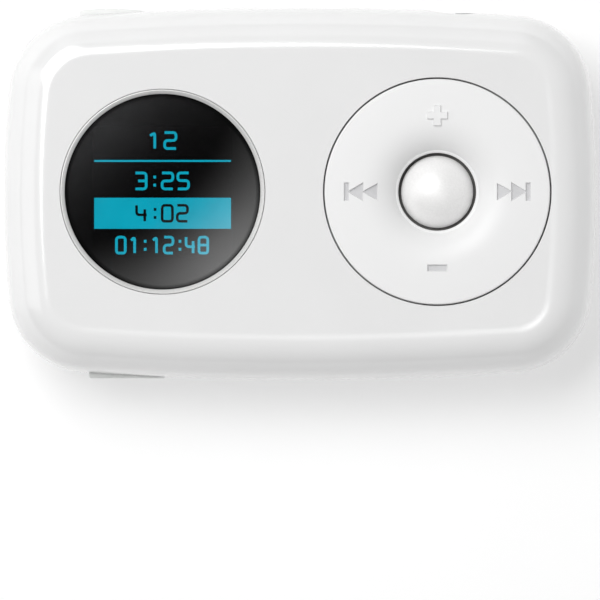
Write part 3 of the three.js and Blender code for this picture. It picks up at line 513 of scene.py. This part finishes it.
def dish_normal(point):
    """The true normal of the pad's upper face."""
    away = Vector((point.x - PAD.x, point.y - PAD.y))
    r = away.length
    off_the_dish = r < PAD_HOLE + PAD_LIP * 0.98 or r > PAD_RADIUS - PAD_EDGE - 0.001 * MM
    if off_the_dish or abs(point.z - dish_z(r)) > 0.02 * MM:
        return None
    step = 1e-6
    slope = (dish_z(r + step) - dish_z(r - step)) / (2 * step)
    away.normalize()
    return Vector((-away.x * slope, -away.y * slope, 1)).normalized()


def pad_profile():
    low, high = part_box("control_pad")
    skirt = 10.55 * MM
    flange = 10.9 * MM
    ceiling = 11.55 * MM
    flange_radius = (high.x - low.x) / 2
    cavity = PAD_RADIUS - 1.3 * MM
    collar = PAD_HOLE + 1.0 * MM
    lip = PAD_HOLE + PAD_LIP
    profile = [(PAD_HOLE, skirt)]
    for angle in quarter_turn(6):
        profile.append((lip - PAD_LIP * math.cos(angle), dish_z(lip) - PAD_LIP * (1 - math.sin(angle))))
    for k in range(1, 27):
        r = lip + (DISH_RADIUS - lip) * (k / 26) ** 1.3
        profile.append((r, dish_z(r)))
    for angle in quarter_turn(6):
        inwards = PAD_EDGE * (1 - math.sin(angle))
        down = PAD_EDGE * (1 - math.cos(angle))
        profile.append((PAD_RADIUS - inwards, DEPTH - down))
    profile += [(PAD_RADIUS, flange), (flange_radius, flange), (flange_radius, skirt),
                (cavity, skirt), (cavity, ceiling), (PAD_HOLE + 3.4 * MM, ceiling),
                (collar, skirt + 0.3 * MM), (collar, skirt)]
    return profile


def around_pad(degrees, radius=SYMBOL_RADIUS):
    angle = math.radians(degrees)
    return PAD.x + radius * math.cos(angle), PAD.y + radius * math.sin(angle)


def box_points(x, y, half_x, half_y):
    corners = ((-1, -1), (1, -1), (1, 1), (-1, 1))
    return [(x + side * half_x, y + up * half_y) for side, up in corners]


def skip_shapes(x, y, heading):
    """Two arrowheads and a bar. heading is 1 for next and -1 for previous."""
    half = 0.79 * MM
    length = 1.35 * MM
    for start in (-1.53 * MM, -0.16 * MM):
        back = x + heading * start
        tip = x + heading * (start + length)
        arrow = [(back, y - half), (tip, y), (back, y + half)]
        yield arrow if heading > 0 else arrow[::-1]
    yield box_points(x + heading * length, y, 0.18 * MM, half)


def sloped(name, shape, at, low, high, slope):
    """A sign's solid. It has the given outline at one height, and grows by slope for each step up."""
    return prism(name, grown(shape, slope * (low - at)), low, high, slope * (high - low))


def raised_plus(pad):
    """The plus, which stands on the pad's surface and follows it."""
    x, y = around_pad(90)
    low, high = DEPTH - 0.4 * MM, DEPTH + SYMBOL_DEPTH + 0.05 * MM
    reach, half = 0.97 * MM, 0.35 * MM
    plus = sloped("plus", box_points(x, y, reach, half), DEPTH, low, high, -SIGN_SLOPE)
    bar = sloped("bar", box_points(x, y, half, reach), DEPTH, low, high, -SIGN_SLOPE)
    combine(plus, "UNION", bar)
    return combine(plus, "INTERSECT", copy_of(pad, (0, 0, SYMBOL_DEPTH)))


def paint_signs(pad):
    """Gives the floors of the sunk signs the pad's second material."""
    for polygon in pad.data.polygons:
        r = math.hypot(polygon.center.x - PAD.x, polygon.center.y - PAD.y)
        floor_z = dish_z(r) - SYMBOL_DEPTH
        if abs(polygon.center.z - floor_z) < 0.03 * MM and polygon.normal.z > 0.6:
            polygon.material_index = 1


def control_pad():
    pad = turned("control_pad_fine", pad_profile(), PAD, 224)
    plus = raised_plus(pad)
    minus = box_points(*around_pad(270), 0.87 * MM, 0.26 * MM)
    shapes = [minus, *skip_shapes(*around_pad(180), -1), *skip_shapes(*around_pad(0), 1)]
    floor = copy_of(pad, (0, 0, -SYMBOL_DEPTH))
    for shape in shapes:
        sign = sloped("sign", shape, DEPTH - SYMBOL_DEPTH, DEPTH - 0.42 * MM, DEPTH + 0.05 * MM, SIGN_SLOPE)
        combine(sign, "DIFFERENCE", copy_of(floor))
        combine(pad, "DIFFERENCE", sign)
    bpy.data.objects.remove(floor)
    combine(pad, "UNION", plus)
    for degrees in (0, 90, 180, 270):
        x, y = around_pad(degrees)
        combine(pad, "UNION", rod("post", 0.8 * MM, span("control_pad", 2)[0], DEPTH - 1 * MM, x, y, 20))
    paint_signs(pad)
    return shade(pad, dish_normal)


def play_button():
    """A ball's cap on a carrier, whose flange the pad holds down. The carrier is painted dark grey as the
    shade in the gap round the cap.
    """
    low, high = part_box("play_button")
    radius = PAD_HOLE - 0.26 * MM
    rim = PAD_HOLE + 0.45 * MM
    nub = 0.9 * MM
    flange = low.z + 0.5 * MM
    seat = low.z + 0.2 * MM
    profile = [(0, low.z), (nub, low.z), (nub, seat), (rim, seat), (rim, flange), (radius, flange)]
    edge = math.asin(radius / DOME_RADIUS)
    for k in range(41):
        angle = edge * (1 - k / 40)
        profile.append((DOME_RADIUS * math.sin(angle), high.z - DOME_RADIUS * (1 - math.cos(angle))))
    profile[-1] = (0, high.z)
    button = turned("play_button_fine", profile, PAD, 160)
    cap_foot = high.z - DOME_RADIUS * (1 - math.cos(edge))
    # the skirt and flange below the cap take the dark grey that paints the shade in the gap round the cap
    for polygon in button.data.polygons:
        polygon.material_index = 1 if polygon.center.z < cap_foot else 0
    return shade(button, sharp=45)


# ------------------------------------------------------------ side keys
def power_slider():
    """A low crowned knob with grip ribs, on the flange that covers its slot."""
    low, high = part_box("power_slider")
    bulge = 0.19 * MM
    groove_depth = 0.06 * MM
    grooves = 5
    steps = 40
    face = []
    for k in range(steps + 1):
        share = k / steps
        y = high.y - bulge + bulge * (1 - (2 * share - 1) ** 2)
        if 0.2 < share < 0.8:
            y -= groove_depth * max(0.0, math.cos(2 * math.pi * grooves * share)) ** 6
        face.append((SLIDER_LOW + (SLIDER_HIGH - SLIDER_LOW) * share, y))
    back = low.y + 0.75 * MM
    points = [(SLIDER_LOW, back), (SLIDER_HIGH, back), *reversed(face)]
    inset = 0.12 * MM
    centre_x = (SLIDER_LOW + SLIDER_HIGH) / 2
    rings = []
    for angle in quarter_turn(4):
        rings.append((inset * (1 - math.sin(angle)), SLIDER_Z[0] + inset * (1 - math.cos(angle))))
    rings += [(amount, SLIDER_Z[0] + SLIDER_Z[1] - z) for amount, z in reversed(rings)]

    def shrunk(x, y, amount):
        inwards = math.copysign(min(amount, abs(x - centre_x)), centre_x - x)
        return x + inwards, y - (amount if y > back + 1e-6 else 0)

    layers = [[(*shrunk(x, y, amount), z) for x, y in points] for amount, z in rings]
    knob = stacked("power_slider_fine", layers)
    flange = prism("flange", rounded(low.x, high.x, low.z, high.z, 0.3 * MM), -(low.y + 0.85 * MM), -low.y)
    combine(knob, "UNION", along_y(flange))
    # the switch's lever stands in a notch in the slider's back
    notch_outline = box_points(middle("power_switch_lever").x, low.y + 0.2 * MM, 0.75 * MM, 0.3 * MM)
    notch = prism("notch", notch_outline, 5.9 * MM, 7.5 * MM)
    combine(knob, "DIFFERENCE", notch)
    return shade(knob, sharp=30)


def menu_key():
    low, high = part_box("menu_key")
    cap = rounded(low.x + KEY_RIM, high.x - KEY_RIM, low.z + KEY_LIP, high.z - KEY_LIP, 0.3 * MM)
    centre = (low + high) / 2
    round_off = 0.2 * MM
    rings = [[(x, low.y + 2.2 * MM, z) for x, z in cap]]
    for angle in quarter_turn(6):
        amount = round_off * (1 - math.cos(angle))
        y = low.y + round_off * (1 - math.sin(angle))
        rings.append([(x + math.copysign(amount, centre.x - x), y, z + math.copysign(amount, centre.z - z))
                      for x, z in cap])
    key = stacked("menu_key_fine", rings)
    flange_outline = rounded(low.x, high.x, low.z, high.z, 0.3 * MM)
    flange = prism("flange", flange_outline, -(low.y + 2.67 * MM), -(low.y + 2.12 * MM))
    combine(key, "UNION", along_y(flange))
    # a nub on the key's back pushes the switch
    nub_outline = box_points(centre.x, high.y - 0.2 * MM, 0.8 * MM, 0.2 * MM)
    nub = prism("nub", nub_outline, 6.0 * MM, 7.2 * MM)
    combine(key, "UNION", nub)
    return shade(key, sharp=40)


# ------------------------------------------------------------ the picture on the display
PANEL_TOP = span("display_panel", 2)[1]
STROKE = 0.25 * MM
CAP_HEIGHT = 1.72 * MM
CORNER_REACH = 0.3 * MM
# a stroke's thickness, as a share of its width
FLATNESS = 0.08
# a colon's width and the space between signs, as shares of a digit's width
COLON_WIDTH = 0.6
SIGN_SPACE = 0.32
# the strokes of each sign, as points from 0 to 1 across and from 0 to 1 up
DIGITS = {
    "0": [[(0.5, 0), (1, 0), (1, 1), (0, 1), (0, 0), (0.5, 0)]],
    "1": [[(0.2, 0.8), (0.6, 1), (0.6, 0)]],
    "2": [[(0, 1), (1, 1), (1, 0.5), (0, 0.5), (0, 0), (1, 0)]],
    "3": [[(0, 1), (1, 1), (1, 0), (0, 0)], [(0.25, 0.5), (1, 0.5)]],
    "4": [[(0, 1), (0, 0.4), (1, 0.4)], [(0.8, 0.75), (0.8, 0)]],
    "5": [[(1, 1), (0, 1), (0, 0.52), (1, 0.52), (1, 0), (0, 0)]],
    "7": [[(0, 1), (1, 1), (0.4, 0)]],
    "8": [[(0.5, 0), (1, 0), (1, 1), (0, 1), (0, 0), (0.5, 0)], [(0, 0.5), (1, 0.5)]],
    ":": [[(0.3, 0.15), (0.3, 0.33)], [(0.3, 0.65), (0.3, 0.83)]],
}


def rounded_stroke(points, reach):
    """The points of a stroke, with each inner corner turned in a small arc."""
    line = [points[0]]
    for before, here, after in zip(points, points[1:], points[2:]):
        back = min(reach, (before - here).length / 2)
        onwards = min(reach, (after - here).length / 2)
        enter = here + (before - here).normalized() * back
        leave = here + (after - here).normalized() * onwards
        for k in range(6):
            t = k / 5
            line.append(enter * (1 - t) ** 2 + here * 2 * t * (1 - t) + leave * t**2)
    return [*line, points[-1]]


def written(name, text, centre_y, width, lift):
    """Figures drawn as flat strokes, centred in the window."""
    curve = bpy.data.curves.new(name, "CURVE")
    curve.dimensions = "3D"
    curve.bevel_depth = STROKE / 2
    curve.bevel_resolution = 2
    curve.use_fill_caps = True
    advance = [COLON_WIDTH if sign == ":" else 1.0 for sign in text]
    scale = width / (sum(advance) + SIGN_SPACE * (len(text) - 1))
    x = WINDOW.x - width / 2
    middle_y = WINDOW.y + centre_y
    rise = CAP_HEIGHT - STROKE
    for sign, step in zip(text, advance):
        reach = scale if sign == ":" else 0.9 * scale
        for stroke in DIGITS[sign]:
            corners = [Vector((x + px * reach, middle_y + (py - 0.5) * rise)) for px, py in stroke]
            line = rounded_stroke(corners, CORNER_REACH)
            spline = curve.splines.new("POLY")
            if stroke[0] == stroke[-1]:
                line.pop()
                spline.use_cyclic_u = True
            spline.points.add(len(line) - 1)
            for point, at in zip(spline.points, line):
                point.co = (at.x, at.y, 0, 1)
        x += (step + SIGN_SPACE) * scale
    holder = bpy.data.objects.new(name, curve)
    bpy.context.scene.collection.objects.link(holder)
    mesh = bpy.data.meshes.new_from_object(holder.evaluated_get(bpy.context.evaluated_depsgraph_get()))
    bpy.data.objects.remove(holder)
    mesh.transform(Matrix.Translation((0, 0, PANEL_TOP + lift)) @ Matrix.Diagonal((1, 1, FLATNESS, 1)))
    obj = bpy.data.objects.new(name, mesh)
    bpy.context.scene.collection.objects.link(obj)
    return obj


def display_graphics():
    lift = 0.02 * MM
    thick = 0.008 * MM
    half = 6.3 * MM
    line_y = 2.84 * MM
    bar_y = -1.98 * MM

    def plate(name, y, half_height):
        low, high = WINDOW.y + y - half_height, WINDOW.y + y + half_height
        points = rounded(WINDOW.x - half, WINDOW.x + half, low, high, 0.04 * MM, 2)
        return prism(name, points, PANEL_TOP + lift - thick, PANEL_TOP + lift + thick)

    lit = [
        written("figures_heading", "12", centre_y=4.72 * MM, width=2.7 * MM, lift=lift),
        plate("display_line", line_y, half_height=0.09 * MM),
        written("figures_row_1", "3:25", centre_y=1.0 * MM, width=5.0 * MM, lift=lift),
        plate("display_bar", bar_y, half_height=1.43 * MM),
        written("figures_row_3", "01:12:48", centre_y=-4.91 * MM, width=8.5 * MM, lift=lift),
    ]
    # the bar's figures are dark, and lie a hair above it
    dark = [written("figures_row_2", "4:02", centre_y=bar_y, width=4.8 * MM, lift=lift + 0.012 * MM)]
    return lit, dark


# ------------------------------------------------------------ materials
def node_tree(name):
    material = bpy.data.materials.new(name)
    material.use_nodes = True
    tree = material.node_tree
    return material, tree, tree.nodes["Principled BSDF"]


def noise(tree, scale, detail=3, stretch=(1, 1, 1), rough=0.5):
    """Noise over the object's own place, in features per metre."""
    place = tree.nodes.new("ShaderNodeTexCoord")
    size = tree.nodes.new("ShaderNodeMapping")
    size.inputs["Scale"].default_value = stretch
    texture = tree.nodes.new("ShaderNodeTexNoise")
    texture.inputs["Scale"].default_value = scale
    texture.inputs["Detail"].default_value = detail
    texture.inputs["Roughness"].default_value = rough
    tree.links.new(place.outputs["Object"], size.inputs["Vector"])
    tree.links.new(size.outputs["Vector"], texture.inputs["Vector"])
    return texture.outputs["Fac"]


# noise seldom leaves this range
NOISE_LOW = 0.3
NOISE_HIGH = 0.7


def between(tree, factor, low, high):
    """A number, or a colour, that runs from low to high as factor does."""
    if isinstance(low, tuple):
        ramp = tree.nodes.new("ShaderNodeValToRGB")
        ramp.color_ramp.elements[0].color = (*low, 1)
        ramp.color_ramp.elements[1].color = (*high, 1)
        ramp.color_ramp.elements[0].position = NOISE_LOW
        ramp.color_ramp.elements[1].position = NOISE_HIGH
        tree.links.new(factor, ramp.inputs["Fac"])
        return ramp.outputs["Color"]
    spread = tree.nodes.new("ShaderNodeMapRange")
    spread.inputs["From Min"].default_value = NOISE_LOW
    spread.inputs["From Max"].default_value = NOISE_HIGH
    spread.inputs["To Min"].default_value = low
    spread.inputs["To Max"].default_value = high
    tree.links.new(factor, spread.inputs["Value"])
    return spread.outputs["Result"]


def bump(tree, shader, height, strength, distance):
    relief = tree.nodes.new("ShaderNodeBump")
    relief.inputs["Strength"].default_value = strength
    relief.inputs["Distance"].default_value = distance
    tree.links.new(height, relief.inputs["Height"])
    tree.links.new(relief.outputs["Normal"], shader.inputs["Normal"])


def surface(name, low, high, rough, metallic=0.0, grain=900, relief=0.1, relief_scale=5000,
            relief_depth=2e-6, stretch=(1, 1, 1), **sockets):
    """A moulded or metal surface: its colour and roughness drift a little, and it has a fine relief."""
    material, tree, shader = node_tree(name)
    drift = noise(tree, grain, 4, stretch)
    tree.links.new(between(tree, drift, low, high), shader.inputs["Base Color"])
    wear = noise(tree, grain * 3.1, 3, stretch)
    tree.links.new(between(tree, wear, *rough), shader.inputs["Roughness"])
    shader.inputs["Metallic"].default_value = metallic
    for socket, value in sockets.items():
        shader.inputs[socket.replace("_", " ")].default_value = value
    bump(tree, shader, noise(tree, relief_scale, 2, stretch), relief, relief_depth)
    return material


def glowing(name, colour, strength):
    material, tree, shader = node_tree(name)
    cells = noise(tree, 9000, 1)
    dimmer = tuple(0.94 * c for c in colour)
    tree.links.new(between(tree, cells, dimmer, colour), shader.inputs["Emission Color"])
    shader.inputs["Emission Strength"].default_value = strength
    shader.inputs["Base Color"].default_value = (0.01, 0.012, 0.013, 1)
    shader.inputs["Roughness"].default_value = 0.4
    return material


def lens_material():
    material, tree, shader = node_tree("smoked_lens")
    tint = noise(tree, 300, 2)
    tree.links.new(between(tree, tint, (0.26, 0.26, 0.27), (0.30, 0.30, 0.31)), shader.inputs["Base Color"])
    shader.inputs["Transmission Weight"].default_value = 1.0
    shader.inputs["IOR"].default_value = 1.9
    haze = noise(tree, 2500, 3)
    tree.links.new(between(tree, haze, 0.0, 0.02), shader.inputs["Roughness"])
    return material


def board_material():
    """Solder mask with copper tracks under it."""
    material, tree, shader = node_tree("circuit_board")
    place = tree.nodes.new("ShaderNodeTexCoord")
    tracks = tree.nodes.new("ShaderNodeTexBrick")
    tracks.inputs["Scale"].default_value = 420
    tracks.inputs["Mortar Size"].default_value = 0.035
    tracks.inputs["Color1"].default_value = (0.012, 0.11, 0.045, 1)
    tracks.inputs["Color2"].default_value = (0.016, 0.13, 0.055, 1)
    tracks.inputs["Mortar"].default_value = (0.04, 0.27, 0.11, 1)
    tree.links.new(place.outputs["Object"], tracks.inputs["Vector"])
    tree.links.new(tracks.outputs["Color"], shader.inputs["Base Color"])
    tree.links.new(between(tree, noise(tree, 1200), 0.25, 0.4), shader.inputs["Roughness"])
    shader.inputs["Coat Weight"].default_value = 0.4
    bump(tree, shader, tracks.outputs["Fac"], 0.3, 3e-5)
    return material


WHITE_LOW, WHITE_HIGH = (0.80, 0.80, 0.80), (0.815, 0.815, 0.815)
MATERIALS = {
    "shell_white": surface("shell_white", WHITE_LOW, WHITE_HIGH, (0.14, 0.18), grain=120, relief=0.03,
                           relief_scale=900, relief_depth=2e-6, Coat_Weight=0.9, Coat_Roughness=0.1),
    "pad_white": surface("pad_white", WHITE_LOW, WHITE_HIGH, (0.38, 0.44), grain=160, relief=0.05,
                         relief_scale=1500, relief_depth=2e-6),
    "pearl_silver": surface("pearl_silver", (0.86, 0.855, 0.85), (0.92, 0.915, 0.91), (0.36, 0.42), 0.15,
                            grain=6000, relief=0.04, relief_scale=9000),
    "satin_silver": surface("satin_silver", (0.82, 0.82, 0.81), (0.88, 0.88, 0.87), (0.36, 0.44), 0.3,
                            grain=5000, relief=0.08, relief_scale=8000),
    "key_grey": surface("key_grey", (0.75, 0.76, 0.75), (0.80, 0.81, 0.80), (0.3, 0.4), grain=700,
                        relief=0.15, relief_scale=6000),
    "smoked_lens": lens_material(),
    "display_glass": surface("display_glass", (0.004, 0.004, 0.005), (0.007, 0.007, 0.009), (0.1, 0.16),
                             grain=400),
    "black_foam": surface("black_foam", (0.004, 0.004, 0.004), (0.010, 0.010, 0.011), (0.8, 0.95), grain=4000,
                          relief=0.8, relief_scale=7000, relief_depth=2e-5),
    "black_plastic": surface("black_plastic", (0.018, 0.018, 0.020), (0.032, 0.032, 0.035), (0.4, 0.55),
                             grain=1500, relief=0.3, relief_scale=7000),
    "natural_plastic": surface("natural_plastic", (0.60, 0.57, 0.50), (0.68, 0.65, 0.57), (0.4, 0.5),
                               relief=0.2, Subsurface_Weight=0.15),
    "amber_film": surface("amber_film", (0.40, 0.16, 0.03), (0.52, 0.23, 0.05), (0.2, 0.3), grain=1500,
                          stretch=(4, 1, 1), Coat_Weight=0.5),
    "silicone": surface("silicone", (0.62, 0.63, 0.63), (0.68, 0.69, 0.69), (0.6, 0.75), relief=0.25,
                        Subsurface_Weight=0.3),
    "circuit_board": board_material(),
    "steel": surface("steel", (0.50, 0.50, 0.51), (0.62, 0.62, 0.63), (0.2, 0.34), 1.0, grain=2500,
                     stretch=(1, 6, 1), relief=0.15),
    "gold": surface("gold", (0.75, 0.50, 0.18), (0.85, 0.60, 0.24), (0.15, 0.28), 1.0, grain=3000),
    "foil": surface("foil", (0.48, 0.50, 0.52), (0.60, 0.62, 0.64), (0.25, 0.4), 0.9, grain=500, relief=0.5,
                    relief_scale=900, relief_depth=4e-5),
    "red_wire": surface("red_wire", (0.38, 0.012, 0.010), (0.46, 0.020, 0.016), (0.35, 0.45)),
    "black_wire": surface("black_wire", (0.012, 0.012, 0.013), (0.022, 0.022, 0.024), (0.35, 0.45)),
}
DISPLAY_CYAN = glowing("display_cyan", (0.0, 0.62, 0.82), 2.4)
# the sunk signs' floors are a darker grey than the pad
SIGN_FLOOR_GREY = surface("sign_floor_grey", (0.56, 0.56, 0.57), (0.60, 0.60, 0.61), (0.4, 0.5), grain=2500,
                     relief=0.08)
# painted shade: the play button's carrier is dark grey so that the gap round its cap reads dark
CARRIER_PAINTED_SHADE = surface("carrier_painted_shade", (0.065, 0.063, 0.060), (0.09, 0.087, 0.083), (0.4, 0.5), grain=2500,
                       relief=0.1)
DISPLAY_DARK = surface("display_dark", (0.002, 0.004, 0.005), (0.004, 0.007, 0.009), (0.3, 0.4))


def finish_with(obj, *materials):
    """Gives an object its materials, and keeps each face's choice of them."""
    chosen = [polygon.material_index for polygon in obj.data.polygons]
    obj.data.materials.clear()
    for material in materials:
        obj.data.materials.append(material)
    for polygon, index in zip(obj.data.polygons, chosen):
        polygon.material_index = min(index, len(materials) - 1)
    return obj


# ------------------------------------------------------------ pieces
SLOT_OF = {part["node"]: part["material_slot"] for part in frame["record"]["subparts"]}
BODY_OF = {node: body for body, nodes in frame["record"]["behaviour"]["bodies"].items() for node in nodes}
# second materials: the darker grey of the pad's sign floors, and the dark grey that paints the shade in the
# gap round the button's cap
SECOND_MATERIAL = {"control_pad": SIGN_FLOOR_GREY, "play_button": CARRIER_PAINTED_SHADE}


def stand_for(node, made):
    extra = [SECOND_MATERIAL[node]] if node in SECOND_MATERIAL else []
    finish_with(made, MATERIALS[SLOT_OF[node]], *extra)
    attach(made, BODY_OF[node])
    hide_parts(node)


FINE = {
    "front_shell": front_shell,
    "rear_shell": rear_shell,
    "window_lens": window_lens,
    "window_bezel": window_bezel,
    "control_pad": control_pad,
    "play_button": play_button,
    "power_slider": power_slider,
    "menu_key": menu_key,
}
for node, make in FINE.items():
    stand_for(node, make())

lit_pieces, dark_pieces = display_graphics()
for made in lit_pieces + dark_pieces:
    finish_with(made, DISPLAY_CYAN if made in lit_pieces else DISPLAY_DARK)
    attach(made, "case")

for name, obj in NODES.items():
    if name in FINE:
        continue
    finish_with(obj, MATERIALS[SLOT_OF[name]])
    obj.data.shade_smooth()
    obj.data.set_sharp_from_angle(angle=math.radians(35))
    edge = obj.modifiers.new("edge", "BEVEL")
    edge.width = 0.04 * MM
    edge.segments = 2
    edge.limit_method = "ANGLE"
    edge.angle_limit = math.radians(50)
    edge.harden_normals = True


# ------------------------------------------------------------ stage, light and camera
# the floor is a lit white table
FLOOR_GLOW = 0.39
# where the room is bright, how bright, and how narrow the bright part is
ROOM = {
    "left": ((-1, 0, 0), 0.02, 2),
    "right": ((1, 0, 0), 0.75, 2),
    "rear": ((0, 1, 0), 0.02, 2),
    "front": ((0, -1, 0), 0.4, 2),
    "overhead": ((0, 0, 1), 0.46, 2),
    "lamp": ((0.128, -0.142, 0.982), 4.4, 200),
}
# the camera and its stand are a dark patch near the zenith, a little to the left and rear
DARK_PATCH = (-0.109, 0.125, 0.986)
PATCH_RADIUS = (9.5, 13.5)
PATCH_STRENGTH = 0.05
# where each softbox is, its size, and how bright it is
SOFTBOXES = {
    "left_box": ((-0.60, 0.05, 0.30), (0.50, 0.55), 1.0),
    "rear_box": ((-0.10, 0.60, 0.26), (0.60, 0.45), 0.5),
    "key_box": ((-0.256, 0.274, 0.650), (0.46, 0.46), 5.8),
}


def floor():
    work = bmesh.new()
    bmesh.ops.create_grid(work, x_segments=8, y_segments=8, size=1.5)
    mesh = bpy.data.meshes.new("floor")
    work.to_mesh(mesh)
    work.free()
    obj = bpy.data.objects.new("floor", mesh)
    # a hair below the rear face, so that the two don't share a plane
    obj.location.z = -0.03 * MM
    bpy.context.scene.collection.objects.link(obj)
    paper = surface("floor_paper", (0.58, 0.58, 0.58), (0.60, 0.60, 0.60), (0.7, 0.8), grain=20, relief=0.02)
    shader = paper.node_tree.nodes["Principled BSDF"]
    shader.inputs["Emission Color"].default_value = (1, 1, 1, 1)
    shader.inputs["Emission Strength"].default_value = FLOOR_GLOW
    finish_with(obj, paper)


def softbox(name, place, size, radiance):
    """A rectangular light of a given brightness. It faces the player, and the camera doesn't see it."""
    lamp = bpy.data.lights.new(name, "AREA")
    lamp.shape = "RECTANGLE"
    lamp.size, lamp.size_y = size
    lamp.energy = radiance * math.pi * size[0] * size[1]
    obj = bpy.data.objects.new(name, lamp)
    obj.location = place
    obj.rotation_euler = (Vector((0, 0, PARTING_Z)) - Vector(place)).to_track_quat("-Z", "Y").to_euler()
    obj.visible_camera = False
    bpy.context.scene.collection.objects.link(obj)


def world():
    """A soft white room whose sides have their own brightness."""
    made = bpy.data.worlds.new("studio")
    made.use_nodes = True
    tree = made.node_tree
    place = tree.nodes.new("ShaderNodeTexCoord")

    def calculate(operation, first, second, label=""):
        node = tree.nodes.new("ShaderNodeMath")
        node.operation = operation
        node.label = label
        for socket, value in zip(node.inputs, (first, second)):
            if isinstance(value, bpy.types.NodeSocket):
                tree.links.new(value, socket)
            else:
                socket.default_value = value
        return node.outputs["Value"]

    def towards(direction):
        aim = tree.nodes.new("ShaderNodeVectorMath")
        aim.operation = "DOT_PRODUCT"
        aim.inputs[1].default_value = Vector(direction).normalized()
        tree.links.new(place.outputs["Generated"], aim.inputs[0])
        return aim.outputs["Value"]

    total = 0.0
    for side, (direction, strength, narrow) in ROOM.items():
        share = calculate("POWER", calculate("MAXIMUM", towards(direction), 0.0), narrow)
        total = calculate("ADD", calculate("MULTIPLY", share, strength, side), total)
    patch = tree.nodes.new("ShaderNodeMapRange")
    patch.interpolation_type = "SMOOTHSTEP"
    inner, outer = PATCH_RADIUS
    patch.inputs["From Min"].default_value = math.cos(math.radians(outer))
    patch.inputs["From Max"].default_value = math.cos(math.radians(inner))
    patch.inputs["To Min"].default_value = 1.0
    patch.inputs["To Max"].default_value = PATCH_STRENGTH
    tree.links.new(towards(DARK_PATCH), patch.inputs["Value"])
    background = tree.nodes["Background"]
    background.inputs["Color"].default_value = (1, 1, 1, 1)
    tree.links.new(calculate("MULTIPLY", total, patch.outputs["Result"]), background.inputs["Strength"])
    bpy.context.scene.world = made


floor()
world()
for name, (place, size, radiance) in SOFTBOXES.items():
    softbox(name, place, size, radiance)

# straight down on the face, from far off: the body is 55 mm of the frame's 55.65 mm and lies high in it
FRAME_WIDTH = 55.65 * MM
LENS_LENGTH = 1200
SENSOR = 36
VIEW_CENTRE = Vector((0.01 * MM, -9.86 * MM))
camera = bpy.data.objects.new("camera", bpy.data.cameras.new("camera"))
camera.data.lens = LENS_LENGTH
camera.data.sensor_width = SENSOR
camera.location = (VIEW_CENTRE.x, VIEW_CENTRE.y, PARTING_Z + FRAME_WIDTH * LENS_LENGTH / SENSOR)
camera.data.clip_end = 20
bpy.context.scene.collection.objects.link(camera)
bpy.context.scene.camera = camera
bpy.context.scene.view_settings.view_transform = "Standard"
